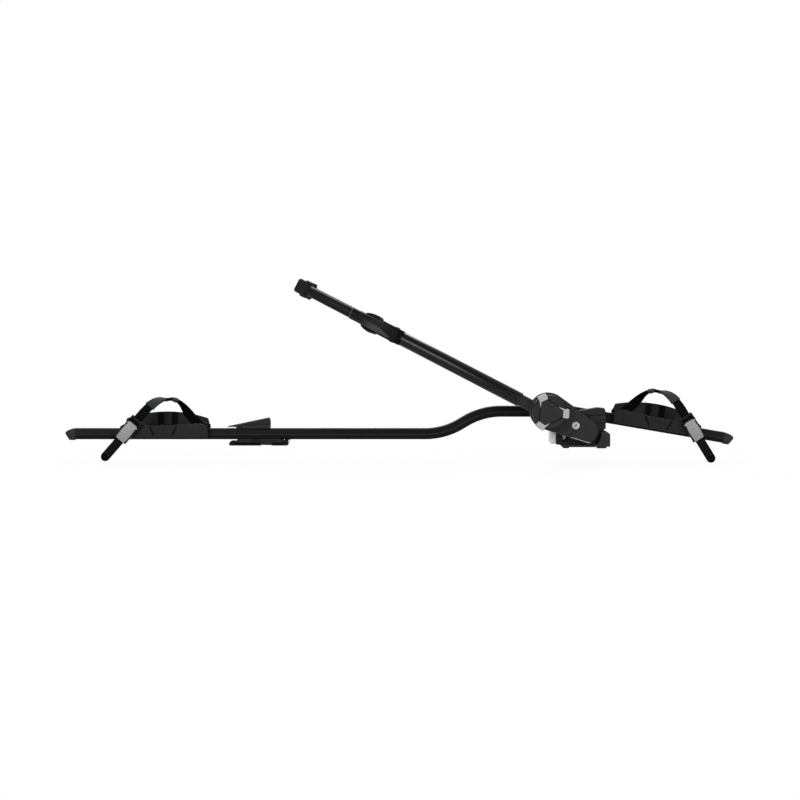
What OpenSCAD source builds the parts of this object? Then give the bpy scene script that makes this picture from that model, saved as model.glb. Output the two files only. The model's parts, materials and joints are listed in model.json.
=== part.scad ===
// Roof mounted bike carrier: a bent tray rail on two clamp feet, a folding frame arm
// with a two-jaw claw driven by a dial, and two wheel cradles with ladder straps.
// X runs along the tray to its front end, Y points away from the dial, Z is up.
// The origin lies on top of the front roof bar, under the arm's hinge line.

/* [Tray rail] */
// Width of the extrusion
rail_w = 35; // [32:0.5:40]
// Height of the extrusion
rail_h = 22.5; // [21:0.5:26]
// Side wall of the extrusion
rail_wall = 3; // [2:0.25:4]
// Height of the low straight's centre line over the roof bars
rail_z = 24.2; // [23:0.2:30]
// Distance from the origin back to the rail's rear end
rail_back = 1095; // [1080:1:1160]
// Length of the low straight
rail_low = 754; // [740:1:770]
// Angle of the S bend
bend_a = 31; // [25:0.5:35]
// Centre-line radius of every bend
bend_r = 150; // [130:1:150]
// How far the S bend lifts the tray
rail_rise = 48.6; // [46:0.2:54]
// Length of the high straight over the front foot
rail_high = 136; // [130:1:145]
// Downward slope of the front straight
nose_a = 9.7; // [8:0.1:11]
// Length of the front straight
rail_front = 322; // [310:1:340]
// Width of the slot mouths in the top and the bottom of the rail
slot_w = 9.6; // [9.2:0.2:11]
// Thickness of the slot lips
slot_lip = 2.6; // [2:0.2:3]
// Length of each end cap's nose
cap_l = 22; // [18:1:28]

/* [Wheel cradles] */
// Length of a cradle
cradle_l = 188; // [184:1:220]
// Outer width of a cradle
cradle_w = 76; // [74:1:90]
// Wall of a cradle
cradle_wall = 4.5; // [4:0.25:6]
// Height of the near wall over the rail's centre line
near_top = 22; // [20:0.5:24]
// Height of the far wall's crown over the rail's centre line
far_top = 46; // [42:0.5:50]
// Radius of the far wall's arched top
far_r = 274; // [250:1:320]
// How far the skirts reach below the rail's centre line
skirt = 6.5; // [5:0.5:8]
// Distance from the origin back to the rear cradle's middle
rear_cradle_x = 902; // [898:1:915]
// Distance along the front straight to the front cradle's middle
front_cradle_d = 174; // [170:1:185]

/* [Straps] */
// Width of a strap
strap_w = 19.4; // [18:0.2:19.6]
// Thickness of a strap
strap_t = 2.6; // [2:0.2:3.2]
// Lean of the strap from upright as it wraps over the tyre
strap_lean = 41.2; // [39:0.2:43]
// Top of the strap's arch over the rail's centre line
strap_top = 77.8; // [74:0.2:84]
// How far the tail hangs below the rail's centre line
strap_tail = 54; // [50:1:70]
// Height of the strap's rooted end over the rail's centre line
strap_root = 26; // [25:0.5:30]
// Where the strap's rooted end sits along the cradle
strap_root_x = 60; // [57:0.5:62]
// Pitch of the ladder ribs
rib_pitch = 5; // [4:0.5:7]
// Height of the ladder ribs
rib_h = 1.1; // [0.8:0.1:1.3]
// Length of the rim pad that slides on the strap
rim_pad_l = 50; // [40:1:52]
// Wall of the rim pad
rim_pad_t = 1.6; // [1.2:0.1:2]

/* [Buckles] */
// Length of a buckle frame
buckle_l = 60; // [58:1:70]
// Width of a buckle frame
buckle_w = 29; // [28:0.5:34]
// Height of a buckle frame off the cradle's wall
buckle_h = 13; // [12.5:0.25:16]
// Thickness of the frame's floor under the strap
buckle_floor = 2; // [1.6:0.2:2.4]
// Length of the silver ratchet lever
ratchet_l = 46; // [42:1:50]
// Diameter of the ratchet lever's pin
ratchet_pin = 4; // [3:0.5:4.5]
// Height of the buckle's middle over the rail's centre line
buckle_z = 7; // [5:0.5:9]

/* [Front foot] */
// Rear face of the front foot's body
foot_back = 53; // [52:1:60]
// Front face of the front foot's body
foot_front = 49; // [48:1:56]
// Height of the foot's deck over the roof bars
foot_top = 33; // [32:0.5:36]
// Thickness of the rubber soles under both feet
sole_t = 3; // [2:0.25:3.4]
// Distance from the tray's middle to the foot's near face
foot_near = 78; // [76:1:82]
// Distance from the tray's middle to the foot's far face
foot_far = 62; // [58:1:70]
// How far the toe reaches out under the arm's housing
toe_reach = 22; // [18:1:26]
// Width of the saddle that carries the rail
saddle_w = 30; // [26:1:34]

/* [Rear foot] */
// Distance from the origin back to the rear clamp bolt
rear_bolt_x = 683; // [678:1:690]
// Length of the rear foot's saddle
rear_foot_l = 106; // [100:1:110]
// Width of the rear foot's saddle
rear_foot_w = 46; // [45:1:60]
// Travel of the rear foot along the rail
rear_travel = 100; // [80:1:120]

/* [Clamp levers] */
// Reach of a lever from its pin to its tip
lever_l = 84; // [78:1:86]
// Width of a lever
lever_w = 25; // [23:0.5:26]
// Height of a lever's crown over its pin
lever_crown = 6.8; // [6.6:0.2:8]
// Radius of a lever's cam heel
cam_r = 8.1; // [7.9:0.1:8.3]
// Offset of the cam heel from the pin
cam_e = 0.6; // [0.5:0.1:0.6]
// Diameter of a lever's pin
lever_pin_d = 5; // [4:0.5:5]
// Diameter of a clamp bolt
clamp_bolt_d = 8; // [6:0.5:8.4]
// Side of a clamp bolt's square head for the bar's slot
t_head = 20; // [18:0.5:22]
// Thickness of that head
t_head_h = 3.2; // [2.8:0.2:3.2]
// Distance from the origin forward to the front clamp bolt
front_bolt_x = 36; // [35:0.5:38]
// Distance from the tray's middle to the front clamp bolt
front_bolt_y = 45; // [44:0.5:46]
// Height of the front lever's pin over the roof bars
front_pin_z = 75.2; // [73:0.2:78]
// Height of the rear lever's base on the rail
base_h = 7.4; // [7:0.2:9]

/* [Frame arm] */
// Distance from the tray's middle to the arm housing's split
arm_y = 99; // [98:0.5:104]
// Height of the arm's hinge over the roof bars
hinge_z = 29.5; // [29:0.25:32]
// Angle of the arm over the tray in the rest pose
arm_rest = 27.2; // [20:0.1:40]
// Lean of the tube from the housing towards the tray
arm_lean = 10; // [9:0.25:11]
// Diameter of the hinge axle
axle_d = 14; // [12:0.5:15]
// Radius of the housing round the hinge
tail_r = 22; // [21:0.5:24]
// Height of that round over the arm's line
tail_z = 7.5; // [6:0.25:8]
// Radius of the housing round the dial
head_r = 38.5; // [37:0.5:42]
// Thickness of one housing half
shell_t = 18.7; // [18.3:0.1:18.8]
// Wall of the housing halves
shell_wall = 3; // [2.5:0.25:3.5]
// Diameter of the arm's tube
tube_d = 30; // [29:0.5:34]
// Wall of the arm's tube
tube_wall = 2; // [1.5:0.25:2.25]
// Diameter of the neck that joins the tube to the housing
neck_d = 25; // [24:0.5:26]
// Distance from the dial's axis to the tube's lower end
tube_start = 66.5; // [62:0.5:70]
// Length of the tube
tube_l = 282; // [276:1:300]
// Diameter of the lock's barrel
lock_d = 16; // [14:0.5:18]
// Distance from the hinge to the lock
lock_x = 31.6; // [30:0.2:34]

/* [Dial] */
// Distance from the hinge to the dial's axis along the arm
dial_x = 96.4; // [94:0.2:99]
// Height of the dial's axis over the arm's line
dial_z = 6.1; // [5:0.1:6.6]
// Diameter of the dial's drum
dial_d = 71; // [68:0.5:74]
// Depth of the dial from the housing to its face
dial_depth = 44; // [40:0.5:50]
// Wall of the dial's drum
dial_wall = 3; // [2.5:0.25:4]
// Depth of the three finger hollows
hollow_h = 7; // [5:0.5:9]
// Radius over the three grip lugs
lug_r = 40.5; // [38:0.5:44]
// Width of a grip lug
lug_w = 19; // [16:0.5:22]
// Turn of the lugs in the rest pose
lug_phase = -37; // [-60:1:60]
// Diameter of the dial's shaft
shaft_d = 12; // [10:0.5:13]
// Teeth on each bevel gear
gear_n = 14; // [12:1:16]
// Pitch radius of each bevel gear
gear_r = 10; // [9.5:0.1:10.2]
// Face width of each bevel gear
gear_face = 4.5; // [3.5:0.25:5]
// Diameter of the spindle in the arm
spindle_d = 9; // [8:0.5:9.5]

/* [Claw] */
// Distance from the tube's end to the jaw pins
pin_u = 18; // [17:0.5:20]
// Distance of each jaw pin from the arm's line
pin_v = 13; // [12.5:0.25:14]
// Diameter of a jaw pin
jaw_pin_d = 6; // [5:0.5:7]
// Height of the claw head's fork plates
head_h = 31.8; // [31.2:0.2:36]
// Height of a jaw's root between the fork plates
jaw_h = 25.4; // [24:0.2:25.6]
// Centre-line radius of a jaw
jaw_r = 220; // [212:1:230]
// Half of a jaw's span from its pin to its tip
jaw_half = 118; // [114:1:122]
// How far a jaw bows out over that span
jaw_bow = 36; // [34:0.5:38]
// Thickness of a jaw's root
jaw_t = 14; // [12:0.5:15]
// Diameter of a jaw's slim bar
bar_d = 22.6; // [20:0.2:24]
// Angle of the jaw's arc that its slim bar takes
bar_a = 25; // [22:0.5:27]
// Angle of the jaw's arc that its rubber tip takes
tip_a = 12; // [11:0.5:13]
// Thickness of a rubber tip
tip_t = 24; // [22:0.5:25]
// Gap between the closed tips
tip_gap = 0.567; // [0.5:0.001:1]
// Height of a rubber tip
tip_h = 32; // [30:0.5:36]
// Height over a rubber tip's ears
ear_h = 37; // [36:0.5:42]
// Length of the rubber pad at the jaws' root
crotch_l = 35; // [30:1:38]
// Height of that pad
crotch_h = 41; // [38:0.5:46]
// Width of that pad
crotch_w = 50; // [44:1:52]

/* [Fits] */
// Gap between pieces that move past each other
gap = 0.35; // [0.3:0.05:0.4]
// Radial running fit of a pin in its bore
fit = 0.05; // [0.03:0.01:0.08]

/* [Hidden] */
$fn = 64;

BLACK = [0.16, 0.16, 0.17];
RAIL = [0.11, 0.11, 0.12];
RUBBER = [0.2, 0.21, 0.215];
GREY = [0.6, 0.61, 0.61];
STEEL = [0.7, 0.7, 0.72];

// Rail path
bend_mid = (rail_rise - 2 * bend_r * (1 - cos(bend_a))) / sin(bend_a);
bend_run = 2 * bend_r * sin(bend_a) + bend_mid * cos(bend_a);
rail_path = [[rail_low, 0], [bend_r, bend_a], [bend_mid, 0], [bend_r, -bend_a],
    [rail_high, 0], [bend_r, -nose_a], [rail_front, 0]];
high_z = rail_z + rail_rise;
kink_x = -rail_back + rail_low + bend_run + rail_high;
front_x = kink_x + bend_r * sin(nose_a);
front_z = high_z - bend_r * (1 - cos(nose_a));
rail_web = 2.4;
// How far the rail's straights run into its bends, which are drawn this much thinner
overlap = 0.02;
rail_top = rail_z + rail_h / 2;

// Strap path: its inner face follows the far wall, an arch and the buckle's floor
far_in = cradle_w / 2 - cradle_wall;
near_out = cradle_w / 2;
strap_r = (far_in - strap_t + near_out + buckle_floor) / 2;
strap_y = strap_r - near_out - buckle_floor;
strap_z = strap_top - strap_t - strap_r;
strap_rise = strap_z - strap_root;
strap_over = strap_rise + PI * strap_r;
strap_l = (strap_over + strap_z + strap_tail) / cos(strap_lean);
pad_from = 97;
rib_from = pad_from + rim_pad_l + 4;
joint_from = 48;
joint_l = 20;

// Buckle: its middle lies on the strap's near leg
buckle_t = (strap_over + strap_z - buckle_z) / cos(strap_lean);
buckle_x = strap_root_x - buckle_t * sin(strap_lean);
ratchet_t = -ratchet_l * 0.4;
ratchet_h = buckle_h - 2.5;
buckle_cheek = 2.2;
lever_room = buckle_w - 2 * buckle_cheek;

// Clamp levers: heights are measured from the lever's pin
seat_drop = cam_r + cam_e + gap;
rear_pin_z = rail_top + gap + base_h + seat_drop;
lever_low = -13;
lever_eye = lever_pin_d / 2 + 2;

// Arm and claw, in the tube's own frame from the dial's axis
tube_shift = 4;
tube_end = tube_start + tube_l;
jaw_u = tube_end + pin_u;
jaw_mid_u = jaw_u + jaw_half;
jaw_mid_v = pin_v + jaw_bow - jaw_r;
root_a = 90 + asin(jaw_half / jaw_r);
// The jaws end where their rubber tips meet in the middle
tip_end_a = asin((tip_gap / 2 - jaw_mid_v) / (jaw_r - tip_t / 2)) + tip_a;
bar_end_a = tip_end_a + bar_a;
gear_cone = (90 + arm_lean) / 2;
gear_back = gear_r / tan(gear_cone);
toe_v = 6.5;

// Extrudes a (Y, Z) section along X
module along_x(l) {
    rotate([90, 0, 90])
        linear_extrude(l)
            children();
}

// Extrudes an (X, Z) outline from y0 to y1
module across(y0, y1) {
    translate([0, y1, 0])
        rotate([90, 0, 0])
            linear_extrude(y1 - y0)
                children();
}

// A round bar along Y from y0 to y1
module rod_y(r, y0, y1) {
    across(y0, y1)
        circle(r);
}

// A rectangle round the origin with rounded corners
module rounded(w, h, r) {
    square([w - 2 * r, h], center = true);
    square([w, h - 2 * r], center = true);
    for (x = [-1, 1], y = [-1, 1])
        translate([x * (w / 2 - r), y * (h / 2 - r)])
            circle(r);
}

// The outline that wraps a circle of radius pr at p and one of radius qr at q
module wrapped(p, pr, q, qr) {
    turn = atan2(q.y - p.y, q.x - p.x);
    open = acos((pr - qr) / norm(q - p));
    function arc(c, r, from, to) =
        [for (i = [0:28]) let (a = turn + from + (to - from) * i / 28) c + r * [cos(a), sin(a)]];
    polygon(concat(arc(p, pr, open, 360 - open), arc(q, qr, -open, open)));
}

// Half an outline, closed by its mirror image
function both_sides(half) =
    concat(half, [for (i = [len(half) - 1:-1:0]) [-half[i].x, half[i].y]]);

// Tray rail

// The extrusion: a ridge along each side, a T slot above and one below
module rail_section(thin = 0) {
    w = rail_w / 2 - thin;
    h = rail_h / 2 - thin;
    web = rail_web / 2 - thin;
    room = rail_w / 2 - rail_wall + thin;
    difference() {
        polygon(both_sides([[w - 2, -h], [w, 2 - h], [w, -1], [w + 0.5, 0],
            [w - 0.7, 1.2], [w - 1.4, h - 1.5], [w - 2.8, h]]));
        for (s = [0, 1])
            mirror([0, s]) {
                translate([-slot_w / 2 - thin, web])
                    square([slot_w + 2 * thin, h]);
                translate([-room, web])
                    square([2 * room, rail_h / 2 - slot_lip + thin - web]);
            }
    }
}

// Follows a list of [length, 0] straights and [radius, angle] bends
module rail_run(path, i = 0) {
    if (i < len(path)) {
        l = path[i][0];
        a = path[i][1];
        s = sign(a);
        if (a == 0) {
            translate([-overlap, 0, 0])
                along_x(l + 2 * overlap)
                    rail_section();
            translate([l, 0, 0])
                rail_run(path, i + 1);
        } else {
            translate([0, 0, s * l])
                rotate([90, 0, 0])
                    rotate(s > 0 ? -90 : 90 + a)
                        rotate_extrude(angle = abs(a))
                            translate([l, 0])
                                rotate(s * 90)
                                    rail_section(overlap);
            translate([l * sin(abs(a)), 0, s * l * (1 - cos(a))])
                rotate([0, -a, 0])
                    rail_run(path, i + 1);
        }
    }
}

module on_front_rail(d) {
    translate([front_x, 0, front_z])
        rotate([0, nose_a, 0])
            translate([d, 0, 0])
                children();
}

module tray_rail() {
    slit = slot_w - 1;
    color(RAIL)
    difference() {
        translate([-rail_back, 0, rail_z])
            rail_run(rail_path);
        // The rear clamp bolt's adjustment slit through the web
        translate([-rear_bolt_x - 20, -slit / 2, rail_z - rail_web])
            cube([rear_travel + 30, slit, 2 * rail_web]);
    }
}

// An end cap on a rail that ends at the local origin and runs towards -X
module end_cap() {
    h = rail_h / 2;
    nose = [for (i = [0:8]) let (a = i * 90 / 8) [cap_l * cos(a), 1.5 + (h - 1.3) * sin(a)]];
    across(-rail_w / 2 - 0.6, rail_w / 2 + 0.6)
        polygon(concat([[0, -h - 1.6], [cap_l * 0.6, -h - 1.6]], nose));
    for (z = [-1, 1])
        translate([-14, 1 - rail_w / 2 + rail_wall, z * (h + rail_web / 2 - slot_lip) / 2 - 3.2])
            cube([14, rail_w - 2 * rail_wall - 2, 6.4]);
}

module rear_end_cap() {
    color(BLACK)
        translate([-rail_back, 0, rail_z])
            mirror([1, 0, 0])
                end_cap();
}

module front_end_cap() {
    color(BLACK)
        on_front_rail(rail_front)
            end_cap();
}

// Front foot

saddle_back = -foot_back - 5;
saddle_d = 32;
saddle_bolt_l = 45;

module at_saddle_bolts() {
    translate([kink_x - 9, 0, high_z])
        children();
    on_front_rail(saddle_d - 10)
        children();
}

module tray_saddle() {
    h = rail_h / 2;
    under = [front_x - h * sin(nose_a), front_z - h * cos(nose_a)];
    stop = under + saddle_d * [cos(nose_a), -sin(nose_a)];
    color(BLACK)
    difference() {
        across(-saddle_w / 2, saddle_w / 2)
            polygon([[saddle_back, foot_top], [saddle_back, high_z - h], [kink_x, high_z - h],
                under, stop, [stop.x + 3, foot_top]]);
        at_saddle_bolts()
            translate([0, 0, -saddle_bolt_l - gap])
                cylinder(d = clamp_bolt_d + 2 * fit, h = saddle_bolt_l);
        // Moulded hollows on both sides, with a rib between them
        for (s = [-1, 1], x = [-44, -18])
            translate([x, s * saddle_w / 2, foot_top + 13])
                rotate([90, 0, 0])
                    linear_extrude(12, center = true)
                        rounded(18, 18, 3);
    }
}

// T-headed bolts that hang the rail on the saddle
module saddle_bolts() {
    h = rail_h / 2;
    color(STEEL)
        at_saddle_bolts() {
            translate([0, 0, -saddle_bolt_l])
                cylinder(d = clamp_bolt_d, h = saddle_bolt_l - h + slot_lip);
            translate([-9, -9, slot_lip - h])
                cube([18, 18, 5]);
        }
}

function foot_mid_y() = (foot_far - foot_near) / 2;

module foot_outline(x0, x1, z0, z1, r) {
    translate([(x0 + x1) / 2, (z0 + z1) / 2])
        rounded(x1 - x0, z1 - z0, r);
}

module foot_base() {
    swing = tail_r + tail_z + 0.7;
    toe_y = -foot_near - toe_reach;
    color(BLACK)
    difference() {
        union() {
            across(-foot_near, foot_far)
                foot_outline(-foot_back, foot_front, sole_t, foot_top, 5);
            // Narrow waist towards the nose
            across(12 - foot_near, foot_far - 12)
                foot_outline(-foot_back - 9, 0, sole_t + 2, foot_top - 1, 2);
            // Cheek in front of the hinge and the low toe under the housing
            across(toe_y, -foot_near)
                difference() {
                    foot_outline(12, foot_front, sole_t, foot_top, 5);
                    translate([0, hinge_z])
                        circle(swing);
                }
            across(toe_y, -foot_near)
                foot_outline(-foot_back, foot_front, sole_t, sole_t + 4, 1.5);
            // Hinge boss
            translate([0, 0, hinge_z])
                rod_y(axle_d / 2 + 6, -foot_near, 20 - foot_near);
            // Grip ribs on the front face
            for (z = [sole_t + 6:5:foot_top - 7])
                across(toe_y + 4, foot_far - 4)
                    translate([foot_front, z])
                        circle(1.2);
        }
        translate([0, 0, hinge_z]) {
            rod_y(axle_d / 2 + fit, -foot_near - 1, 21 - foot_near);
            rod_y(axle_d / 2 + 5, 20 - foot_near, 30 - foot_near);
        }
        // Clamp bolt
        translate([front_bolt_x, -front_bolt_y, 0])
            cylinder(d = clamp_bolt_d + 2 * gap, h = foot_top + 1);
        at_saddle_bolts()
            translate([0, 0, -saddle_bolt_l - gap])
                cylinder(d = clamp_bolt_d + 2 * fit, h = saddle_bolt_l);
        // Moulded hollows under the deck
        for (x = [-40, -8])
            translate([x, 12 - foot_near + 22, -1])
                cube([24, foot_far + foot_near - 60, foot_top - 12]);
        // Pocket of the arm's release catch
        translate([catch_x - gap, -foot_near - 1, catch_z - catch_press - gap])
            cube([catch_w + 2 * gap, 12 + gap, catch_h + catch_press + 2 * gap]);
    }
}

// Bright rounded end of the foot
module foot_nose() {
    color(GREY)
        across(18 - foot_near, foot_far - 18)
            foot_outline(-foot_back - 22, -foot_back - 9, sole_t + 3, foot_top, 5);
}

module foot_sole() {
    color(RUBBER) {
        across(8 - foot_near, foot_far - 8)
            translate([-foot_back + 3, 0])
                square([foot_back + 18, sole_t]);
        across(-foot_near - toe_reach, 7 - foot_near)
            translate([-foot_back + 3, 0])
                square([12, sole_t]);
    }
}

module arm_axle() {
    color(STEEL)
        translate([0, 0, hinge_z]) {
            rod_y(axle_d / 2, -arm_y - shell_t + 5, 20 - foot_near);
            rod_y(axle_d / 2 + 4, 20 - foot_near, 24 - foot_near);
        }
}

// Release catch: a sprung tab that is pressed down to free the arm
catch_w = 13;
catch_h = 14;
catch_x = -51;
catch_z = 17;
catch_press = 5;

module arm_catch() {
    color(GREY)
        translate([catch_x, -foot_near, catch_z])
            across(-1.4, 11)
                polygon([[0, catch_h], [catch_w, catch_h], [catch_w, catch_h - 3], [5, 0], [2, 0],
                    [0, catch_h - 3]]);
}

// Clamp levers, the same at both feet

// The bolt under a lever's pin: an eye, a shank and a square head for the bar's slot
module clamp_bolt(l) {
    color(STEEL)
    difference() {
        union() {
            rod_y(lever_eye, -5, 5);
            translate([0, 0, -l])
                cylinder(d = clamp_bolt_d, h = l);
            translate([-t_head / 2, -t_head / 2, -l])
                cube([t_head, t_head, t_head_h]);
        }
        rod_y(lever_pin_d / 2 + fit, -6, 6);
    }
}

module lever_pin() {
    color(STEEL)
        rod_y(lever_pin_d / 2, 2.4 - lever_w / 2, lever_w / 2 - 2.4);
}

// The flip lever: a wedge with a cam heel, slotted for the bolt's eye
module clamp_lever() {
    tip = [-lever_l, lever_low + 1.2];
    crown = [cam_r - 3, lever_crown];
    heel = cam_r - cam_e;
    color(BLACK)
    difference() {
        across(-lever_w / 2, lever_w / 2) {
            translate([-cam_e, -cam_e])
                circle(cam_r);
            polygon([[-lever_l, lever_low], [-52, lever_low], [-48, gap - seat_drop], [-cam_e, gap - seat_drop],
                [heel - 1, -cam_e], [heel, -cam_e], [heel, lever_crown - 2], crown, tip]);
        }
        translate([-8, -5 - gap, -20])
            cube([30, 10 + 2 * gap, 20 + lever_eye + gap]);
        // Hollow under the finger end
        across(4 - lever_w / 2, lever_w / 2 - 4)
            polygon([[-46, -seat_drop], [-14, -seat_drop], [-14, 0], [-46, -6]]);
        rod_y(lever_pin_d / 2 + fit, 2 - lever_w / 2, lever_w / 2 - 2);
        // Split line of the cap along each side
        for (s = [-1, 1])
            translate([0, s * lever_w / 2, 0])
                across(-0.5, 0.5)
                    translate([-36, -4.5])
                        square([60, 0.7]);
    }
}

module at_front_lever() {
    translate([front_bolt_x, -front_bolt_y, front_pin_z])
        children();
}

module at_rear_lever() {
    translate([-rear_bolt_x, 0, rear_pin_z])
        children();
}

module front_clamp_tower() {
    seat = front_pin_z - seat_drop;
    y0 = -front_bolt_y - lever_w / 2;
    y1 = -front_bolt_y + lever_w / 2;
    x1 = front_bolt_x + cam_r;
    x0 = x1 - 36;
    color(BLACK)
    difference() {
        union() {
            across(y0, y1)
                foot_outline(x0, x1, foot_top + 4, seat, 4);
            across(y0 + 2, y1 - 2)
                foot_outline(x0 + 4, x1 - 5, foot_top, foot_top + 12, 0.5);
            // Screw boss on the side
            translate([x1 - 7.5, 0, seat - 12])
                rod_y(4.8, y0 - 0.6, y0 + 1);
        }
        translate([front_bolt_x, -front_bolt_y, 0])
            cylinder(d = clamp_bolt_d + 2 * gap, h = seat + 1);
    }
}

module front_clamp_bolt() {
    at_front_lever()
        clamp_bolt(front_pin_z + t_head_h + 0.5);
}

module front_lever_pin() {
    at_front_lever() lever_pin();
}

module front_clamp_lever() {
    at_front_lever() clamp_lever();
}

module rear_clamp_bolt() {
    at_rear_lever()
        clamp_bolt(rear_pin_z);
}

module rear_lever_pin() {
    at_rear_lever() lever_pin();
}

module rear_clamp_lever() {
    at_rear_lever() clamp_lever();
}

// Rear foot: a saddle under the rail, clamped by the lever on top of it

rear_foot_x0 = -rear_bolt_x - rear_foot_l + 38;

module rear_lever_base() {
    base = -rear_pin_z + rail_top + gap;
    w = lever_w / 2 - 1;
    color(BLACK)
    at_rear_lever()
        difference() {
            across(-w, w) {
                translate([-66, base])
                    square([60, 1.6]);
                translate([-48, base])
                    square([48 + cam_r - cam_e, base_h]);
                translate([-66, base])
                    square([13, lever_low - gap - base]);
            }
            translate([0, 0, -40])
                cylinder(d = clamp_bolt_d + 2 * gap, h = 40);
        }
}

module rear_foot_saddle() {
    w = rear_foot_w / 2;
    in = rail_w / 2 + 0.5 + gap;
    floor_z = rail_z - rail_h / 2 - gap;
    lip = 2.2;
    color(BLACK)
    difference() {
        translate([rear_foot_x0, 0, 0])
            along_x(rear_foot_l)
                polygon(both_sides([[w - 3, sole_t + 0.5], [w, sole_t + 3], [w, floor_z + lip],
                    [in, floor_z + lip], [in, floor_z]]));
        translate([-rear_bolt_x, 0, -1])
            cylinder(d = clamp_bolt_d + 2 * gap, h = 40);
        // Sloped ends and the dark window in each side
        for (s = [0, 1])
            translate([rear_foot_x0 + s * rear_foot_l, 0, 0])
                mirror([s, 0, 0])
                    across(-w - 1, w + 1)
                        polygon([[-1, floor_z - 5], [9, floor_z + lip + 0.1], [-1, floor_z + lip + 0.1]]);
        for (s = [-1, 1])
            translate([rear_foot_x0 + 44, s * w, floor_z - 1.5])
                cube([18, 6, 3.5], center = true);
    }
}

module rear_foot_sole() {
    w = rear_foot_w / 2 + 4;
    x1 = rear_foot_x0 + rear_foot_l;
    color(RUBBER)
    difference() {
        across(-w, w) {
            translate([rear_foot_x0 + 2, 0])
                square([rear_foot_l - 4, sole_t + 0.5]);
            foot_outline(rear_foot_x0 - 12, rear_foot_x0, 0, sole_t + 5, 3);
            foot_outline(x1, x1 + 9, 0, rail_z - rail_h / 2 - gap, 3);
            translate([rear_foot_x0 - 6, 0])
                square([10, sole_t + 0.5]);
            translate([x1 - 4, 0])
                square([8, sole_t + 0.5]);
        }
        translate([-rear_bolt_x - t_head / 2 - 1, -w - 1, -1])
            cube([t_head + 2, 2 * w + 2, sole_t + 3]);
    }
}

// Bright screws that hold the sole's end block
module rear_foot_screws() {
    w = rear_foot_w / 2 + 4;
    x1 = rear_foot_x0 + rear_foot_l;
    color(STEEL)
        for (y = [-0.6, 0.6])
            translate([x1 + 9, y * w, sole_t + 6])
                rotate([0, 90, 0])
                    cylinder(r = 4, h = 2.5);
}

// Wheel cradles, built over the rail's centre line with the buckle towards -X

module at_rear_cradle() {
    translate([-rear_cradle_x, 0, rail_z])
        children();
}

module at_front_cradle() {
    on_front_rail(front_cradle_d)
        mirror([1, 0, 0])
            children();
}

module far_wall_outline() {
    l = cradle_l / 2;
    intersection() {
        translate([-l, -skirt])
            square([cradle_l, far_top + skirt]);
        translate([0, far_top - far_r])
            circle(far_r);
        polygon([[-l, -skirt], [l, -skirt], [l, 10], [l - 5, 30], [l - 9, 34], [30, far_top + 9],
            [-30, far_top + 9], [9 - l, 34], [5 - l, 30], [-l, 10]]);
    }
}

module near_wall_outline() {
    l = cradle_l / 2;
    polygon([[-l, -skirt], [l, -skirt], [l, 8], [l - 3, 15], [l - 8, near_top - 1],
        [l - 16, near_top + 1.6], [l - 28, near_top + 1.6], [l - 34, near_top], [25, near_top],
        [22, near_top - 2.7], [-36, near_top - 2.7], [-39, near_top + 1.2], [-54, near_top + 1.2],
        [-58, near_top], [6 - l, near_top], [-l, 14]]);
}

module cradle() {
    l = cradle_l / 2;
    w = cradle_w / 2;
    top = rail_h / 2 + gap;
    in = rail_w / 2 + 0.5 + gap;
    color(BLACK)
    difference() {
        union() {
            // Tyre trough on the rail, with a skirt down each side
            translate([-l, 0, 0])
                along_x(cradle_l)
                    polygon(both_sides([[w, -skirt], [w, 8], [far_in, top + 7], [10, top + 2.4]]));
            across(far_in, w)
                far_wall_outline();
            across(-w, -far_in)
                near_wall_outline();
        }
        translate([-l - 1, 0, 0])
            along_x(cradle_l + 2)
                polygon([[-in, -skirt - 1], [in, -skirt - 1], [in, top], [-in, top]]);
        // Hollows inside the skirts
        for (s = [-1, 1], x = [-62, -20, 22, 64])
            translate([x, s * (in + w) / 2, 0])
                cube([34, w - in - 2 * cradle_wall + 2, 14], center = true);
        // Sunk panel in the near wall and the two pockets in the far wall
        across(-w - 1, 2.2 - w)
            polygon([[-36, near_top], [22, near_top], [12, -2], [-27, -2]]);
        for (x = [-21, 9])
            translate([x, far_in - 1, near_top - 4])
                cube([13, 3.6, far_top]);
        translate([0, 0, top - 1])
            cylinder(d = bolt_d + 2 * fit, h = 10);
        // Trimmed trough ends
        for (s = [-1, 1])
            translate([s * (l + 4), 0, top + 12])
                cube([20, 2 * far_in - 0.1, 20], center = true);
    }
}

bolt_d = 6;

// The cradle's bolt and its nut in the rail's upper slot
module cradle_bolt() {
    top = rail_h / 2 + gap + 2.4;
    nut = rail_h / 2 - slot_lip - gap;
    color(STEEL) {
        translate([0, 0, nut - 5])
            cylinder(d = bolt_d, h = top - nut + 5);
        translate([0, 0, top])
            cylinder(d = 12, h = 3);
        translate([-9, -8, nut - 4.5])
            cube([18, 16, 4.5]);
    }
}

// A point on the wrapped strap: t along it, v across it, n out from its inner face
function strap_point(t, v, n) =
    let (s = t * cos(strap_lean) + v * sin(strap_lean),
        x = strap_root_x - t * sin(strap_lean) + v * cos(strap_lean),
        a = (s - strap_rise) / strap_r * 180 / PI)
    a < 0 ? [x, strap_y + strap_r + n, strap_z + s - strap_rise]
    : a > 180 ? [x, strap_y - strap_r - n, strap_z - s + strap_over]
    : [x, strap_y + (strap_r + n) * cos(a), strap_z + (strap_r + n) * sin(a)];

// Skins a tube through rings of points; a capped tube is closed at its ends
function quad_faces(m, i, j) =
    let (a = i * m + j, b = i * m + (j + 1) % m)
    [[a, a + m, b], [b, a + m, b + m]];

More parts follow.
